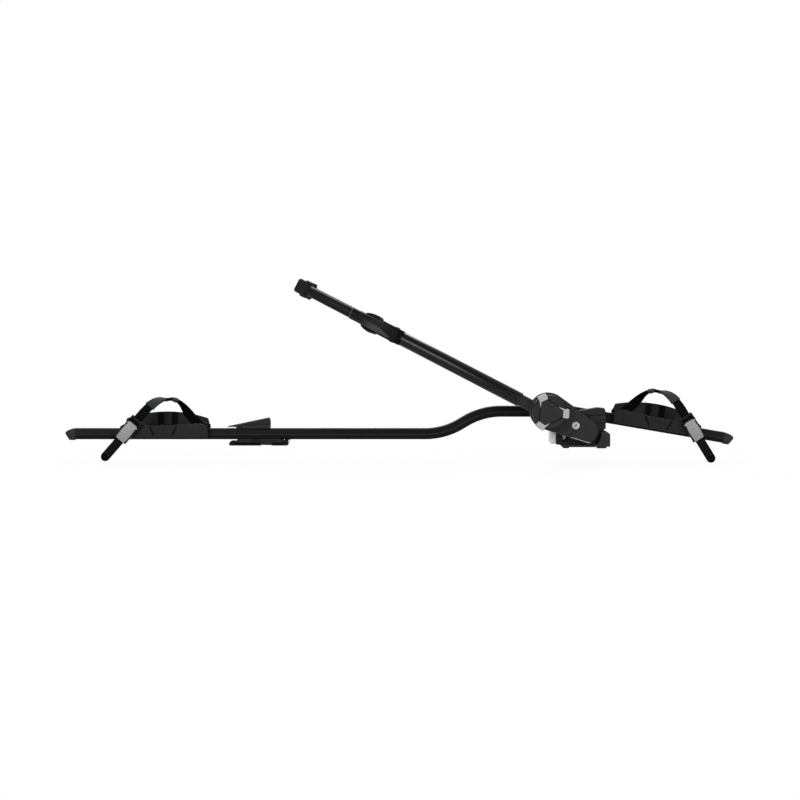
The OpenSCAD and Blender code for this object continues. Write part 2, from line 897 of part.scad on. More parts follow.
module swept(rings) {
    m = len(rings[0]);
    k = len(rings);
    polyhedron(
        points = [for (r = rings) each r],
        faces = concat(
            [for (i = [0:k - 2], j = [0:m - 1]) each quad_faces(m, i, j)],
            [for (j = [2:m - 1]) [1, j, (j + 1) % m]],
            [for (j = [2:m - 1]) (k - 1) * m * [1, 1, 1] + [1, (j + 1) % m, j]]));
}

// Half the strap's width, rounded off at the tail's tip
function strap_half(t) =
    let (w = strap_w / 2, d = t - (strap_l - w))
    d <= 0 ? w : max(1, sqrt(max(0, w * w - d * d)));

module strap() {
    ribs = floor((strap_l - 14 - rib_from) / rib_pitch);
    smooth = [for (i = [0:5]) [i * joint_from / 6, strap_t]];
    joint = [for (d = [0, 1, 7, 13, joint_l - 1, joint_l])
        [joint_from + d, d == 0 || d == joint_l ? strap_t : strap_t + 1.6]];
    arch = [for (i = [0:12]) [joint_from + joint_l + 2 + i * (rib_from - joint_from - joint_l - 3) / 12,
        strap_t]];
    ladder = [for (i = [0:ribs - 1], p = [[0, 0], [0.45, 0], [0.5, rib_h], [0.95, rib_h]])
        [rib_from + (i + p[0]) * rib_pitch, strap_t + p[1]]];
    tail_t = rib_from + ribs * rib_pitch;
    tail = [for (i = [0:6]) [tail_t + (strap_l - tail_t) * sin(i * 15), strap_t]];
    stations = concat(smooth, joint, arch, ladder, tail);
    color(RAIL)
        swept([for (s = stations)
            let (w = strap_half(s[0]))
            [for (p = [[-w, 0], [0, 0], [w, 0], [w, s[1]], [0, s[1]], [-w, s[1]]])
                strap_point(s[0], p[0], p[1])]]);
}

// The rim pad: a rubber sleeve on the strap
module rim_pad() {
    w = strap_w / 2;
    module sleeve(grow, from, to, low, high) {
        swept([for (i = [0:12])
            let (t = from + (to - from) * i / 12)
            [for (p = [[-w - grow, low], [0, low], [w + grow, low],
                    [w + grow, high], [0, high], [-w - grow, high]])
                strap_point(t, p[0], p[1])]]);
    }
    color(RUBBER)
    difference() {
        sleeve(gap + rim_pad_t, pad_from, pad_from + rim_pad_l,
            -gap - rim_pad_t, strap_t + gap + rim_pad_t);
        sleeve(gap, pad_from - 2, pad_from + rim_pad_l + 2, -gap, strap_t + gap);
    }
}

// Buckle frame of reference: X down the strap, Y across it, Z out from the cradle's wall
module at_buckle() {
    translate([buckle_x, -near_out, buckle_z])
        rotate([0, 90 + strap_lean, 0])
            rotate([90, 0, 0])
                children();
}

module at_ratchet() {
    at_buckle()
        translate([ratchet_t, 0, ratchet_h])
            rotate([90, 0, 0])
                children();
}

module buckle_frame() {
    side = (buckle_w - strap_w) / 2 - gap;
    color(BLACK)
    difference() {
        union() {
            at_buckle() {
                translate([-buckle_l * 0.6, -buckle_w / 2, 0])
                    cube([buckle_l, buckle_w, buckle_floor]);
                for (s = [0, 1])
                    mirror([0, s, 0])
                        translate([0, buckle_w / 2, 0])
                            rotate([90, 0, 0])
                                linear_extrude(side)
                                    polygon([[-buckle_l * 0.6, 0], [buckle_l * 0.4, 0],
                                        [buckle_l * 0.4 - 3, 6], [buckle_l * 0.1, buckle_h - 3],
                                        [ratchet_t + 6, buckle_h + 1], [ratchet_t - 6, buckle_h + 1],
                                        [-buckle_l * 0.6, buckle_h - 3]]);
                // Cross bar over the strap
                translate([-buckle_l * 0.6, -buckle_w / 2, buckle_h - 6])
                    cube([6, buckle_w, 3]);
            }
        }
        at_ratchet()
            cylinder(d = ratchet_pin + 2 * fit, h = buckle_w + 2, center = true);
        // Room for the lever between thin cheeks
        at_buckle()
            translate([-buckle_l * 0.6 + 8, -lever_room / 2, buckle_floor + strap_t + rib_h])
                cube([buckle_l, lever_room, buckle_h]);
    }
}

module buckle_pin() {
    color(STEEL)
        at_ratchet()
            cylinder(d = ratchet_pin, h = buckle_w - 0.6, center = true);
}

// The silver lever: a crowned plate on a round heel that works the ladder
module buckle_lever() {
    heel = ratchet_h - buckle_floor - strap_t - rib_h - gap;
    back = ratchet_l - heel;
    color(GREY)
    at_ratchet()
        difference() {
            linear_extrude(lever_room - 2 * gap, center = true) {
                circle(heel);
                polygon([[0, -heel], [2, 2 - heel], [back * 0.5, 0], [back - 2, -3.5], [back, -2.5],
                    [back * 0.55, 4], [0, heel]]);
            }
            cylinder(d = ratchet_pin + 2 * fit, h = buckle_w, center = true);
        }
}

module rear_cradle() { at_rear_cradle() cradle(); }
module rear_cradle_bolt() { at_rear_cradle() cradle_bolt(); }
module rear_strap() { at_rear_cradle() strap(); }
module rear_rim_pad() { at_rear_cradle() rim_pad(); }
module rear_buckle_frame() { at_rear_cradle() buckle_frame(); }
module rear_buckle_pin() { at_rear_cradle() buckle_pin(); }
module rear_buckle_lever() { at_rear_cradle() buckle_lever(); }
module front_cradle() { at_front_cradle() cradle(); }
module front_cradle_bolt() { at_front_cradle() cradle_bolt(); }
module front_strap() { at_front_cradle() strap(); }
module front_rim_pad() { at_front_cradle() rim_pad(); }
module front_buckle_frame() { at_front_cradle() buckle_frame(); }
module front_buckle_pin() { at_front_cradle() buckle_pin(); }
module front_buckle_lever() { at_front_cradle() buckle_lever(); }

// Frame arm: X along the arm from the hinge, Y towards the viewer, Z square to both

module in_arm() {
    translate([0, -arm_y, hinge_z])
        rotate([0, -arm_rest, 180])
            children();
}

// The leaning tube's frame, from the dial's axis
module in_tube() {
    in_arm()
        translate([dial_x, tube_shift, 0])
            rotate([0, 0, -arm_lean])
                children();
}

// The dial's frame: Z out along its axis, from the housing's split
module at_dial() {
    in_arm()
        translate([dial_x, 0, dial_z])
            rotate([-90, 0, 0])
                children();
}

// A round bar along the tube's frame from u0 to u1
module rod_u(r, u0, u1) {
    translate([u0, 0, 0])
        rotate([0, 90, 0])
            cylinder(r = r, h = u1 - u0);
}

module housing_outline(inset) {
    wrapped([0, tail_z], tail_r - inset, [dial_x, dial_z], head_r - inset);
}

screw_at = [[14, 22], [18, -7], [62, 28], [58, -18]];
axle_wall = 4;

// What both halves are hollowed by: the room inside the walls, less the bosses
module housing_room() {
    difference() {
        housing_outline(shell_wall);
        circle(axle_d / 2 + axle_wall);
        for (p = screw_at)
            translate(p) circle(4.5);
        translate([lock_x, dial_z])
            circle(lock_d / 2 + 2.5);
    }
}

module neck_socket() {
    translate([dial_x, tube_shift, 0])
        rotate([0, 0, -arm_lean])
            rod_u(neck_d / 2 + fit, 20, 60);
}

module housing_back() {
    color(BLACK)
    in_arm()
        difference() {
            across(-shell_t, 0)
                housing_outline(0);
            across(shell_wall - shell_t, 1)
                housing_room();
            rod_y(axle_d / 2 + fit, -shell_t - 1, 1);
            for (p = screw_at)
                translate([p.x, 0, p.y]) {
                    rod_y(2 + fit, -shell_t - 1, 1);
                    rod_y(4.2, -shell_t - 1, 2.4 - shell_t);
                }
            neck_socket();
        }
}

module housing_cover() {
    color(BLACK)
    in_arm()
        difference() {
            union() {
                across(0, shell_t - 3)
                    housing_outline(0);
                across(shell_t - 3, shell_t - 1)
                    housing_outline(0.7);
                across(shell_t - 1, shell_t)
                    housing_outline(1.8);
            }
            across(-1, shell_t - shell_wall)
                housing_room();
            rod_y(axle_d / 2 + fit, -1, shell_t - 4);
            for (p = screw_at)
                translate([p.x, 0, p.y])
                    rod_y(2 + fit, -1, 9);
            translate([lock_x, 0, dial_z])
                rod_y(lock_d / 2 + fit, 2, shell_t + 1);
            translate([dial_x, 0, dial_z])
                rod_y(shaft_d / 2 + fit, -1, shell_t + 1);
            neck_socket();
        }
}

// Countersunk screws that close the housing from behind
module housing_screws() {
    color(STEEL)
        in_arm()
            for (p = screw_at)
                translate([p.x, 0, p.y]) {
                    rod_y(2, -shell_t + 0.4, 8);
                    rod_y(4, -shell_t + 0.2, 2.4 - shell_t);
                }
}

module lock_barrel() {
    color(GREY)
    in_arm()
        translate([lock_x, 0, dial_z])
            difference() {
                rod_y(lock_d / 2, 2.4, shell_t + 0.8);
                translate([-1, shell_t - 3, -3.2])
                    cube([2, 5, 6.4]);
            }
}

module arm_neck() {
    color(BLACK)
    in_tube()
        difference() {
            union() {
                rod_u(neck_d / 2, 24, tube_start + 1);
                rod_u(tube_d / 2 - tube_wall - fit, tube_start, tube_start + 26);
                // Shoulder that the tube's end meets
                rod_u(tube_d / 2, tube_start - 3, tube_start);
            }
            translate([0, 0, dial_z])
                rod_u(spindle_d / 2 + fit, 0, tube_start + 30);
        }
}

module arm_tube() {
    color(RAIL)
    in_tube()
        difference() {
            rod_u(tube_d / 2, tube_start, tube_end);
            rod_u(tube_d / 2 - tube_wall, tube_start - 1, tube_end + 1);
        }
}

// Claw

// The fork that carries the jaw pins, with a spigot in the tube
module claw_head() {
    h = head_h / 2;
    slot = jaw_h / 2 + gap;
    throat = tube_d / 2 - tube_wall - 2.4;
    nose = jaw_u + 38;
    color(BLACK)
    in_tube()
        difference() {
            union() {
                rod_u(tube_d / 2 - tube_wall - fit, tube_end - 18, tube_end + 1);
                rod_u(h, tube_end, tube_end + 2.6);
                for (s = [-1, 1])
                    translate([0, 0, s * (h + slot) / 2 - (h - slot) / 2])
                        linear_extrude(h - slot)
                            polygon([[tube_end, -h], [jaw_u, -pin_v - 9], [jaw_u + 10, -pin_v - 7],
                                [nose, -18], [nose, 18], [jaw_u + 10, pin_v + 7], [jaw_u, pin_v + 9],
                                [tube_end, h]]);
                // Web between the plates in front of the pins
                translate([jaw_u + 10, -5, -slot - 0.5])
                    cube([nose - jaw_u - 10, 10, 2 * slot + 1]);
                translate([nose - 5, -18, -h])
                    cube([5, 36, head_h]);
            }
            rod_u(throat, tube_end - 20, tube_end + 4);
            for (s = [-1, 1])
                translate([jaw_u, s * pin_v, 0])
                    cylinder(d = jaw_pin_d + 2 * fit, h = 2 * head_h, center = true);
        }
}

module jaw_pins() {
    color(STEEL)
        in_tube()
            for (s = [-1, 1])
                translate([jaw_u, s * pin_v, 0])
                    cylinder(d = jaw_pin_d, h = head_h + 3.2, center = true);
}

// Rubber pad with a hollow face between the jaws' roots
module crotch_pad() {
    nose = jaw_u + 38;
    color(RUBBER)
    in_tube()
        difference() {
            translate([nose + crotch_l / 2, 0, 0])
                rotate([90, 0, 0])
                    linear_extrude(crotch_w, center = true)
                        rounded(crotch_l, crotch_h, 5);
            translate([nose + crotch_l + 44, 0, 0])
                cylinder(r = 52, h = 2 * crotch_h, center = true);
        }
}

// A stretch of the jaw's arc from angle a0 down to a1, with a section of (outward, up)
module jaw_arc(a0, a1) {
    translate([jaw_mid_u, jaw_mid_v, 0])
        rotate(a1)
            rotate_extrude(angle = a0 - a1, $fn = 180)
                translate([jaw_r, 0])
                    children();
}

module jaw() {
    heel = jaw_t / 2 + 0.5;
    color(BLACK)
    difference() {
        union() {
            jaw_arc(root_a, bar_end_a)
                rounded(jaw_t, jaw_h, 3);
            jaw_arc(bar_end_a + 1, tip_end_a)
                circle(d = bar_d);
            // Tongue inside the rubber tip
            jaw_arc(tip_end_a + 1, tip_end_a - tip_a + 3)
                square([10, 16], center = true);
            translate([jaw_u, pin_v, 0])
                cylinder(r = heel, h = jaw_h, center = true);
            // Tail with a toe for the crosshead's wedge
            translate([0, 0, -5])
                linear_extrude(10)
                    polygon([[jaw_u, pin_v + 3], [jaw_u - 13, pin_v], [jaw_u - 14, toe_v + 1.5],
                        [jaw_u - 13, toe_v], [jaw_u - 11, toe_v], [jaw_u, pin_v - 4]]);
        }
        translate([jaw_u, pin_v, 0])
            cylinder(d = jaw_pin_d + 2 * fit, h = 2 * jaw_h, center = true);
    }
}

// The rubber tip: a block with two ears and a thick inner lip
module jaw_tip() {
    color(RUBBER)
    difference() {
        union() {
            jaw_arc(tip_end_a, tip_end_a - tip_a)
                rounded(tip_t, tip_h, 5);
            jaw_arc(tip_end_a - 0.8, tip_end_a - 4.6)
                square([15, ear_h], center = true);
        }
        jaw_arc(tip_end_a + 1, tip_end_a - tip_a + 3 - 0.05)
            square([10 + 2 * fit, 16 + 2 * fit], center = true);
    }
}

module near_jaw() { in_tube() jaw(); }
module near_jaw_tip() { in_tube() jaw_tip(); }
module far_jaw() { in_tube() mirror([0, 1, 0]) jaw(); }
module far_jaw_tip() { in_tube() mirror([0, 1, 0]) jaw_tip(); }

// Drive from the dial to the jaws

// The nut in the tube, with the wedge that spreads the jaws' tails
wedge_slope = tan(14.5);
nut_travel = 20;

module crosshead() {
    back = tube_end - 39;
    nose = jaw_u - 8;
    function half(u) = min(8.8, toe_v - 0.5 - (u - jaw_u + 13) * wedge_slope);
    color(STEEL)
    in_tube()
        difference() {
            union() {
                rod_u(tube_d / 2 - tube_wall - gap, back, back + 18);
                translate([0, 0, -4.6])
                    linear_extrude(9.2)
                        polygon(both_ways([[back + 17, 8.8], [jaw_u - 26, half(jaw_u - 26)],
                            [nose, half(nose)]]));
            }
            translate([0, 0, dial_z])
                rod_u(spindle_d / 2 + fit, back - 1, tube_end - 4 + nut_travel);
        }
}

// Half an outline over the X axis, closed by its mirror image below
function both_ways(half) =
    concat(half, [for (i = [len(half) - 1:-1:0]) [half[i].x, -half[i].y]]);

module spindle() {
    color(STEEL)
        in_tube()
            translate([0, 0, dial_z])
                union() {
                    rod_u(spindle_d / 2, gear_back + 2, tube_end - 6);
                    rod_u(spindle_d / 2 - 1, gear_back - gear_face, gear_back + 3);
                }
}

// A straight bevel gear: its pitch circle at Z = 0 and its cone's point above
module bevel_gear(turn, bore) {
    small = (gear_back - gear_face) / gear_back;
    pitch_a = 360 / gear_n;
    root = gear_r - 1.7;
    tip = gear_r + 0.9;
    outline = [for (i = [0:gear_n - 1], p = [[-0.19, root], [-0.09, tip], [0.09, tip], [0.19, root]])
        let (a = turn + (i + p[0]) * pitch_a)
        p[1] * [cos(a), sin(a)]];
    difference() {
        union() {
            linear_extrude(gear_face, scale = small)
                polygon(outline);
            translate([0, 0, -2])
                cylinder(r = root - 1, h = 2.5);
        }
        translate([0, 0, -3])
            cylinder(r = bore, h = gear_face + 4);
    }
}

module dial_gear() {
    color(STEEL)
        at_dial()
            translate([0, 0, tube_shift + gear_back])
                mirror([0, 0, 1])
                    bevel_gear(0, spindle_d / 2 - 1 + fit);
}

module spindle_gear() {
    color(STEEL)
        in_tube()
            translate([gear_back, 0, dial_z])
                rotate([0, -90, 0])
                    bevel_gear(90 + 180 / gear_n, spindle_d / 2 - 1 + fit);
}

dial_foot = shell_t + 0.6;
dial_face = shell_t + dial_depth;
web_z = dial_face - 16;

module dial_shaft() {
    color(STEEL)
        at_dial() {
            translate([0, 0, tube_shift + gear_back + 2])
                cylinder(d = shaft_d, h = web_z - tube_shift - gear_back - 2);
            translate([0, 0, tube_shift + gear_back - gear_face])
                cylinder(r = spindle_d / 2 - 1, h = gear_face + 3);
        }
}

// The drum: a cup with a rounded three-cornered plateau and finger hollows between the lugs
module dial_drum() {
    color(BLACK)
    at_dial()
        difference() {
            union() {
                translate([0, 0, dial_foot])
                    cylinder(d = dial_d, h = web_z + 4 - dial_foot);
                translate([0, 0, web_z + 3])
                    cylinder(d = dial_d - 2, h = dial_face - web_z - 3 - hollow_h);
                translate([0, 0, web_z + 3])
                    linear_extrude(dial_face - web_z - 4.5)
                        plateau_outline();
            }
            translate([0, 0, dial_foot - 1])
                cylinder(d = dial_d - 2 * dial_wall, h = web_z - dial_foot + 1);
            // Seats of the grip lugs
            for (a = [0:120:240])
                rotate(lug_phase + a)
                    translate([0, 0, lug_z])
                        linear_extrude(dial_depth)
                            lug_outline();
        }
}

lug_z = dial_face - 22;
// Distance from the dial's axis to a side of the plateau
plateau_d = 19.5;

// A rounded triangle whose corners point at the lugs
module plateau_outline() {
    hull()
        for (a = [0:120:240])
            rotate(lug_phase + a)
                translate([2 * (lug_r - 12.5 - plateau_d), 0])
                    circle(2 * plateau_d - lug_r + 12.5);
}

module lug_outline() {
    translate([lug_r - 13, -lug_w / 2])
        square([13, lug_w]);
}

// The grey grip: three lugs, each with a thin blade along the plateau
module dial_grips() {
    color(GREY)
    at_dial()
        intersection() {
            for (a = [0:120:240])
                rotate(lug_phase + a) {
                    translate([0, 0, lug_z])
                        linear_extrude(dial_face - lug_z)
                            lug_outline();
                    translate([0, 0, dial_face - hollow_h])
                        linear_extrude(hollow_h)
                            difference() {
                                rotate(60)
                                    translate([plateau_d, -24])
                                        square([2.6, 15]);
                                plateau_room();
                            }
                }
            cylinder(r = lug_r, h = dial_face);
        }
}

// The plateau as the blade sees it
module plateau_room() {
    rotate(-lug_phase)
        plateau_outline();
}

// Torque limiter under the dial's web
module torque_plate() {
    color(STEEL)
        at_dial()
            translate([0, 0, web_z - 8.5])
                difference() {
                    cylinder(r = 24, h = 4);
                    translate([0, 0, -1])
                        cylinder(d = shaft_d + 2 * fit, h = 6);
                }
}

module disc_springs() {
    color(STEEL)
        at_dial()
            for (m = [0, 1])
                translate([0, 0, web_z - 2.25])
                    mirror([0, 0, m])
                        rotate_extrude()
                            polygon([[shaft_d / 2 + fit, 1.45], [shaft_d / 2 + fit, 2.25], [20, 0.8],
                                [20, 0]]);
}

tray_rail();
rear_end_cap();
front_end_cap();
tray_saddle();
saddle_bolts();
foot_base();
foot_nose();
foot_sole();
arm_axle();
front_clamp_tower();
front_clamp_bolt();
front_lever_pin();
front_clamp_lever();
arm_catch();
rear_foot_saddle();
rear_foot_sole();
rear_foot_screws();
rear_lever_base();
rear_clamp_bolt();
rear_lever_pin();
rear_clamp_lever();
rear_cradle();
rear_cradle_bolt();
rear_strap();
rear_rim_pad();
rear_buckle_frame();
rear_buckle_pin();
rear_buckle_lever();
front_cradle();
front_cradle_bolt();
front_strap();
front_rim_pad();
front_buckle_frame();
front_buckle_pin();
front_buckle_lever();
housing_back();
housing_cover();
housing_screws();
arm_neck();
arm_tube();
claw_head();
jaw_pins();
crotch_pad();
lock_barrel();
dial_drum();
dial_grips();
dial_shaft();
dial_gear();
torque_plate();
disc_springs();
spindle();
spindle_gear();
crosshead();
near_jaw();
near_jaw_tip();
far_jaw();
far_jaw_tip();
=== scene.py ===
import json
import math

import bmesh
import bpy
import numpy as np
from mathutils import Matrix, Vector


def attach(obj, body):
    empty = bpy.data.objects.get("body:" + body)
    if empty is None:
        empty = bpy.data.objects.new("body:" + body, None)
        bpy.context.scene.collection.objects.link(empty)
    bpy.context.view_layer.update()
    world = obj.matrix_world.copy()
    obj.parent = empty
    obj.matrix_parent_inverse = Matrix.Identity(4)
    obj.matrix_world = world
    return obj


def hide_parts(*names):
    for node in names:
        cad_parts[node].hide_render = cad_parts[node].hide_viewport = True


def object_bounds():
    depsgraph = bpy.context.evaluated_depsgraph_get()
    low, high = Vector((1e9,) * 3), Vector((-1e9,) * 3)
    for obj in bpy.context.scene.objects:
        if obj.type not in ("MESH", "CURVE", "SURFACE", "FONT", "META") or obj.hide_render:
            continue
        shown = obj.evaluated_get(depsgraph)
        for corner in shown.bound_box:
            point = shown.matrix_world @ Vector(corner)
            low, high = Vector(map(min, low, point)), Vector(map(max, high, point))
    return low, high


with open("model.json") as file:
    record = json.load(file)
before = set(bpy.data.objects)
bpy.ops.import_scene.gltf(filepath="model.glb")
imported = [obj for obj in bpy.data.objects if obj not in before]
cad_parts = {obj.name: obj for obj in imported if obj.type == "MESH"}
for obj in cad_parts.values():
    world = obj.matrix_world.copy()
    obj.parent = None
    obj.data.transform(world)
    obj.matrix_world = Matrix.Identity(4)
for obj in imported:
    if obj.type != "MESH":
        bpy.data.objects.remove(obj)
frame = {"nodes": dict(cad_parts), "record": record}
cad_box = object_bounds()

# Tray rail: one extruded aluminium length, anodised black, bent up over the front foot and
# down again to its nose. A ridge runs along each side, a T slot along its top and its bottom.
RAIL_Z, RAIL_BACK, BEND_R = 24.2, 1095.0, 150.0
RAIL_LOW, RAIL_RISE, RAIL_HIGH, RAIL_FRONT = 754.0, 48.6, 136.0, 322.0
BEND_A, NOSE_A = math.radians(31), math.radians(9.7)
BEND_STEPS, STRAIGHT_STEP = 28, 60
RAIL_TOP, SLOT_MOUTH, SLOT_SIDE, SLOT_LIP, RAIL_WEB = 11.25, 4.8, 14.5, 8.65, 1.2
RIDGE_IN, RIDGE_Z, RIDGE_REACH = 17.3, -0.3, 1.6
RAIL_ROUND = 0.5
CLOUD_SCALE, NOISE_DETAIL, ROUGH_SPREAD, BUMP_STRENGTH = 22.0, 3.0, 0.12, 0.5
TINT_FROM, TINT_TO = 0.6, 1.4
MIX_A, MIX_B, MIX_RESULT = 6, 7, 2
LONGEST_CUT = 0.48
MERGE_M = 1e-6
body_of = {node: body for body, nodes in frame["record"]["behaviour"]["bodies"].items() for node in nodes}


def finish(name, colour, rough, shine, grain=900.0, depth=0.03, metal=0.0, streak=(1, 1, 1), mottle=0.06,
        other=None):
    """A finish: fine grain as bump and roughness, and a slow cloud that shifts the colour a little. The
    other colour takes over where the mesh's own tone attribute is 1. The bump's depth is in millimetres."""
    m = bpy.data.materials.new(name)
    m.use_nodes = True
    n, link = m.node_tree.nodes, m.node_tree.links.new
    shader = n["Principled BSDF"]
    shader.inputs["Metallic"].default_value = metal
    shader.inputs["Specular IOR Level"].default_value = shine
    where, stretch = n.new("ShaderNodeTexCoord"), n.new("ShaderNodeMapping")
    stretch.inputs["Scale"].default_value = streak
    link(where.outputs["Object"], stretch.inputs["Vector"])
    fine, cloud = n.new("ShaderNodeTexNoise"), n.new("ShaderNodeTexNoise")
    for noise, scale in ((fine, grain), (cloud, CLOUD_SCALE)):
        noise.inputs["Scale"].default_value = scale
        noise.inputs["Detail"].default_value = NOISE_DETAIL
        link(stretch.outputs["Vector"], noise.inputs["Vector"])
    both = n.new("ShaderNodeMath")
    both.operation = "ADD"
    link(fine.outputs["Fac"], both.inputs[0])
    link(cloud.outputs["Fac"], both.inputs[1])
    tint = n.new("ShaderNodeMapRange")
    tint.inputs["From Min"].default_value, tint.inputs["From Max"].default_value = TINT_FROM, TINT_TO
    link(both.outputs["Value"], tint.inputs["Value"])
    shade = n.new("ShaderNodeMix")
    shade.data_type = "RGBA"
    shade.inputs[MIX_A].default_value = (*[c * (1 - mottle) for c in colour], 1)
    shade.inputs[MIX_B].default_value = (*[c * (1 + mottle) for c in colour], 1)
    link(tint.outputs["Result"], shade.inputs[0])
    if other:
        tone, worn = n.new("ShaderNodeAttribute"), n.new("ShaderNodeMix")
        tone.attribute_name = "tone"
        worn.data_type = "RGBA"
        worn.inputs[MIX_B].default_value = (*other, 1)
        link(tone.outputs["Fac"], worn.inputs[0])
        link(shade.outputs[MIX_RESULT], worn.inputs[MIX_A])
        shade = worn
    link(shade.outputs[MIX_RESULT], shader.inputs["Base Color"])
    gloss = n.new("ShaderNodeMapRange")
    gloss.inputs["To Min"].default_value = rough * (1 - ROUGH_SPREAD)
    gloss.inputs["To Max"].default_value = rough * (1 + ROUGH_SPREAD)
    link(fine.outputs["Fac"], gloss.inputs["Value"])
    link(gloss.outputs["Result"], shader.inputs["Roughness"])
    bump = n.new("ShaderNodeBump")
    bump.inputs["Strength"].default_value = BUMP_STRENGTH
    bump.inputs["Distance"].default_value = depth / 1000
    link(fine.outputs["Fac"], bump.inputs["Height"])
    link(bump.outputs["Normal"], shader.inputs["Normal"])
    return m


def rounded_loop(points, radius, steps=4):
    """A closed outline with each corner cut back by its radius and bridged by a parabola through the cuts."""
    p = np.asarray(points, float)
    before, after = np.roll(p, 1, 0) - p, np.roll(p, -1, 0) - p
    back, ahead = np.linalg.norm(before, axis=1), np.linalg.norm(after, axis=1)
    r = np.broadcast_to(np.asarray(radius, float), back.shape)
    a = p + before * (np.minimum(r, LONGEST_CUT * back) / back)[:, None]
    b = p + after * (np.minimum(r, LONGEST_CUT * ahead) / ahead)[:, None]
    t = np.linspace(0, 1, steps + 1)[None, :, None]
    curve = (1 - t) ** 2 * a[:, None] + 2 * t * (1 - t) * p[:, None] + t ** 2 * b[:, None]
    return curve.reshape(-1, p.shape[1])


def placed(points, axes, origin):
    """Local millimetres set into the frame in metres: each coordinate times its axis row, plus the origin."""
    return (np.asarray(points, float) @ np.asarray(axes, float) + np.asarray(origin, float)) / 1000


def ridden(name, mesh, material, nodes, hides):
    """A finished piece: it rides on its first node's body and may hide its nodes."""
    piece = bpy.data.objects.new(name, mesh)
    bpy.context.scene.collection.objects.link(piece)
    mesh.materials.clear()
    mesh.materials.append(material)
    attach(piece, body_of[nodes[0]])
    if hides:
        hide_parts(*nodes)
    return piece


def skin(name, grid, material, nodes, hides=True, sharp=38.0, tone=None):
    """A closed loop carried along a path: grid[i, j] is loop point j at station i, and both ends are capped
    flat. A tone for each point is kept with the mesh for its finish."""
    n, m = grid.shape[:2]
    i, j = np.meshgrid(np.arange(n - 1), np.arange(m), indexing="ij")
    k = (j + 1) % m
    quads = np.stack([i * m + j, i * m + k, (i + 1) * m + k, (i + 1) * m + j], -1).reshape(-1, 4)
    caps = [list(range(m)), list(range((n - 1) * m, n * m))]
    mesh = bpy.data.meshes.new(name)
    mesh.from_pydata(grid.reshape(-1, 3).tolist(), [], quads.tolist() + caps)
    if tone is not None:
        mesh.attributes.new("tone", "FLOAT", "POINT").data.foreach_set("value", tone.ravel())
    work = bmesh.new()
    work.from_mesh(mesh)
    bmesh.ops.remove_doubles(work, verts=work.verts, dist=MERGE_M)
    bmesh.ops.recalc_face_normals(work, faces=work.faces)
    work.to_mesh(mesh)
    work.free()
    sides = np.empty(len(mesh.polygons), np.int32)
    mesh.polygons.foreach_get("loop_total", sides)
    mesh.polygons.foreach_set("use_smooth", sides <= 4)
    mesh.set_sharp_from_angle(angle=math.radians(sharp))
    ridden(name, mesh, material, nodes, hides)


def rail_line():
    """The rail's centre line in X and Z with its slope: straights joined by arcs, in millimetres."""
    middle = (RAIL_RISE - 2 * BEND_R * (1 - math.cos(BEND_A))) / math.sin(BEND_A)
    spot, slope, found = np.array([-RAIL_BACK, RAIL_Z]), 0.0, []
    for length, turn in ((RAIL_LOW, 0), (0, BEND_A), (middle, 0), (0, -BEND_A), (RAIL_HIGH, 0), (0, -NOSE_A),
            (RAIL_FRONT, 0)):
        if turn == 0:
            run = np.linspace(0, length, 2 + int(length // STRAIGHT_STEP))
            found.append(np.column_stack([spot[0] + run * math.cos(slope), spot[1] + run * math.sin(slope),
                np.full(run.shape, slope)]))
        else:
            a = slope + np.linspace(0, turn, BEND_STEPS)
            side = math.copysign(BEND_R, turn)
            found.append(np.column_stack([spot[0] + side * (np.sin(a) - math.sin(slope)),
                spot[1] + side * (math.cos(slope) - np.cos(a)), a]))
        spot, slope = found[-1][-1, :2], found[-1][-1, 2]
    return np.vstack([found[0]] + [f[1:] for f in found[1:]])


rail_half = np.array([(SLOT_MOUTH, -RAIL_TOP), (15.5, -RAIL_TOP), (17.5, -9.25), (17.5, -1.2), (18.0, -0.3),
    (17.9, 0.4), (16.8, 1.4), (16.1, 9.75), (14.7, RAIL_TOP), (SLOT_MOUTH, RAIL_TOP), (SLOT_MOUTH, SLOT_LIP),
    (SLOT_SIDE, SLOT_LIP), (SLOT_SIDE, RAIL_WEB)])
slot_half = np.array([(-SLOT_SIDE, -RAIL_WEB), (-SLOT_SIDE, -SLOT_LIP), (-SLOT_MOUTH, -SLOT_LIP)])
rail_loop = rounded_loop(np.vstack([rail_half, rail_half[:0:-1] * (-1, 1), [(-SLOT_MOUTH, -RAIL_TOP)],
    slot_half[::-1], slot_half * (-1, 1)]), RAIL_ROUND, 2)
across, up = rail_loop.T
rail_x, rail_z, rail_slope = rail_line().T[:, :, None]
rail_grid = np.stack([rail_x - up * np.sin(rail_slope), across + 0 * rail_x,
    rail_z + up * np.cos(rail_slope)], -1)
# Points on each side ridge take the rail's lighter colour: a painted highlight along the ridge's edge.
ridge_highlight = (np.abs(across) > RIDGE_IN) * np.clip(RIDGE_REACH - np.abs(up - RIDGE_Z), 0, 1)
anodised = finish("anodised_black", (0.0042, 0.0042, 0.0046), 0.36, 0.04, 700, 0.02, streak=(0.04, 1, 1),
    other=(0.021, 0.021, 0.0215))
skin("rail", rail_grid / 1000, anodised, ["tray_rail"], sharp=24,
    tone=np.broadcast_to(ridge_highlight, rail_grid.shape[:2]))

# End caps: hollow plastic noses pushed into the rail's two slots, rounded over and cut back
# below, so that nothing catches on the open ends of the extrusion.
SOLID_MERGE_M, FLAT_ANGLE = 2e-6, math.radians(1.5)
EDGE_SEGMENTS, EDGE_ANGLE = 3, math.radians(32)
CAP_ROUND = 2.0
cap_black = finish("cap_plastic", (0.017, 0.017, 0.0175), 0.5, 0.1)


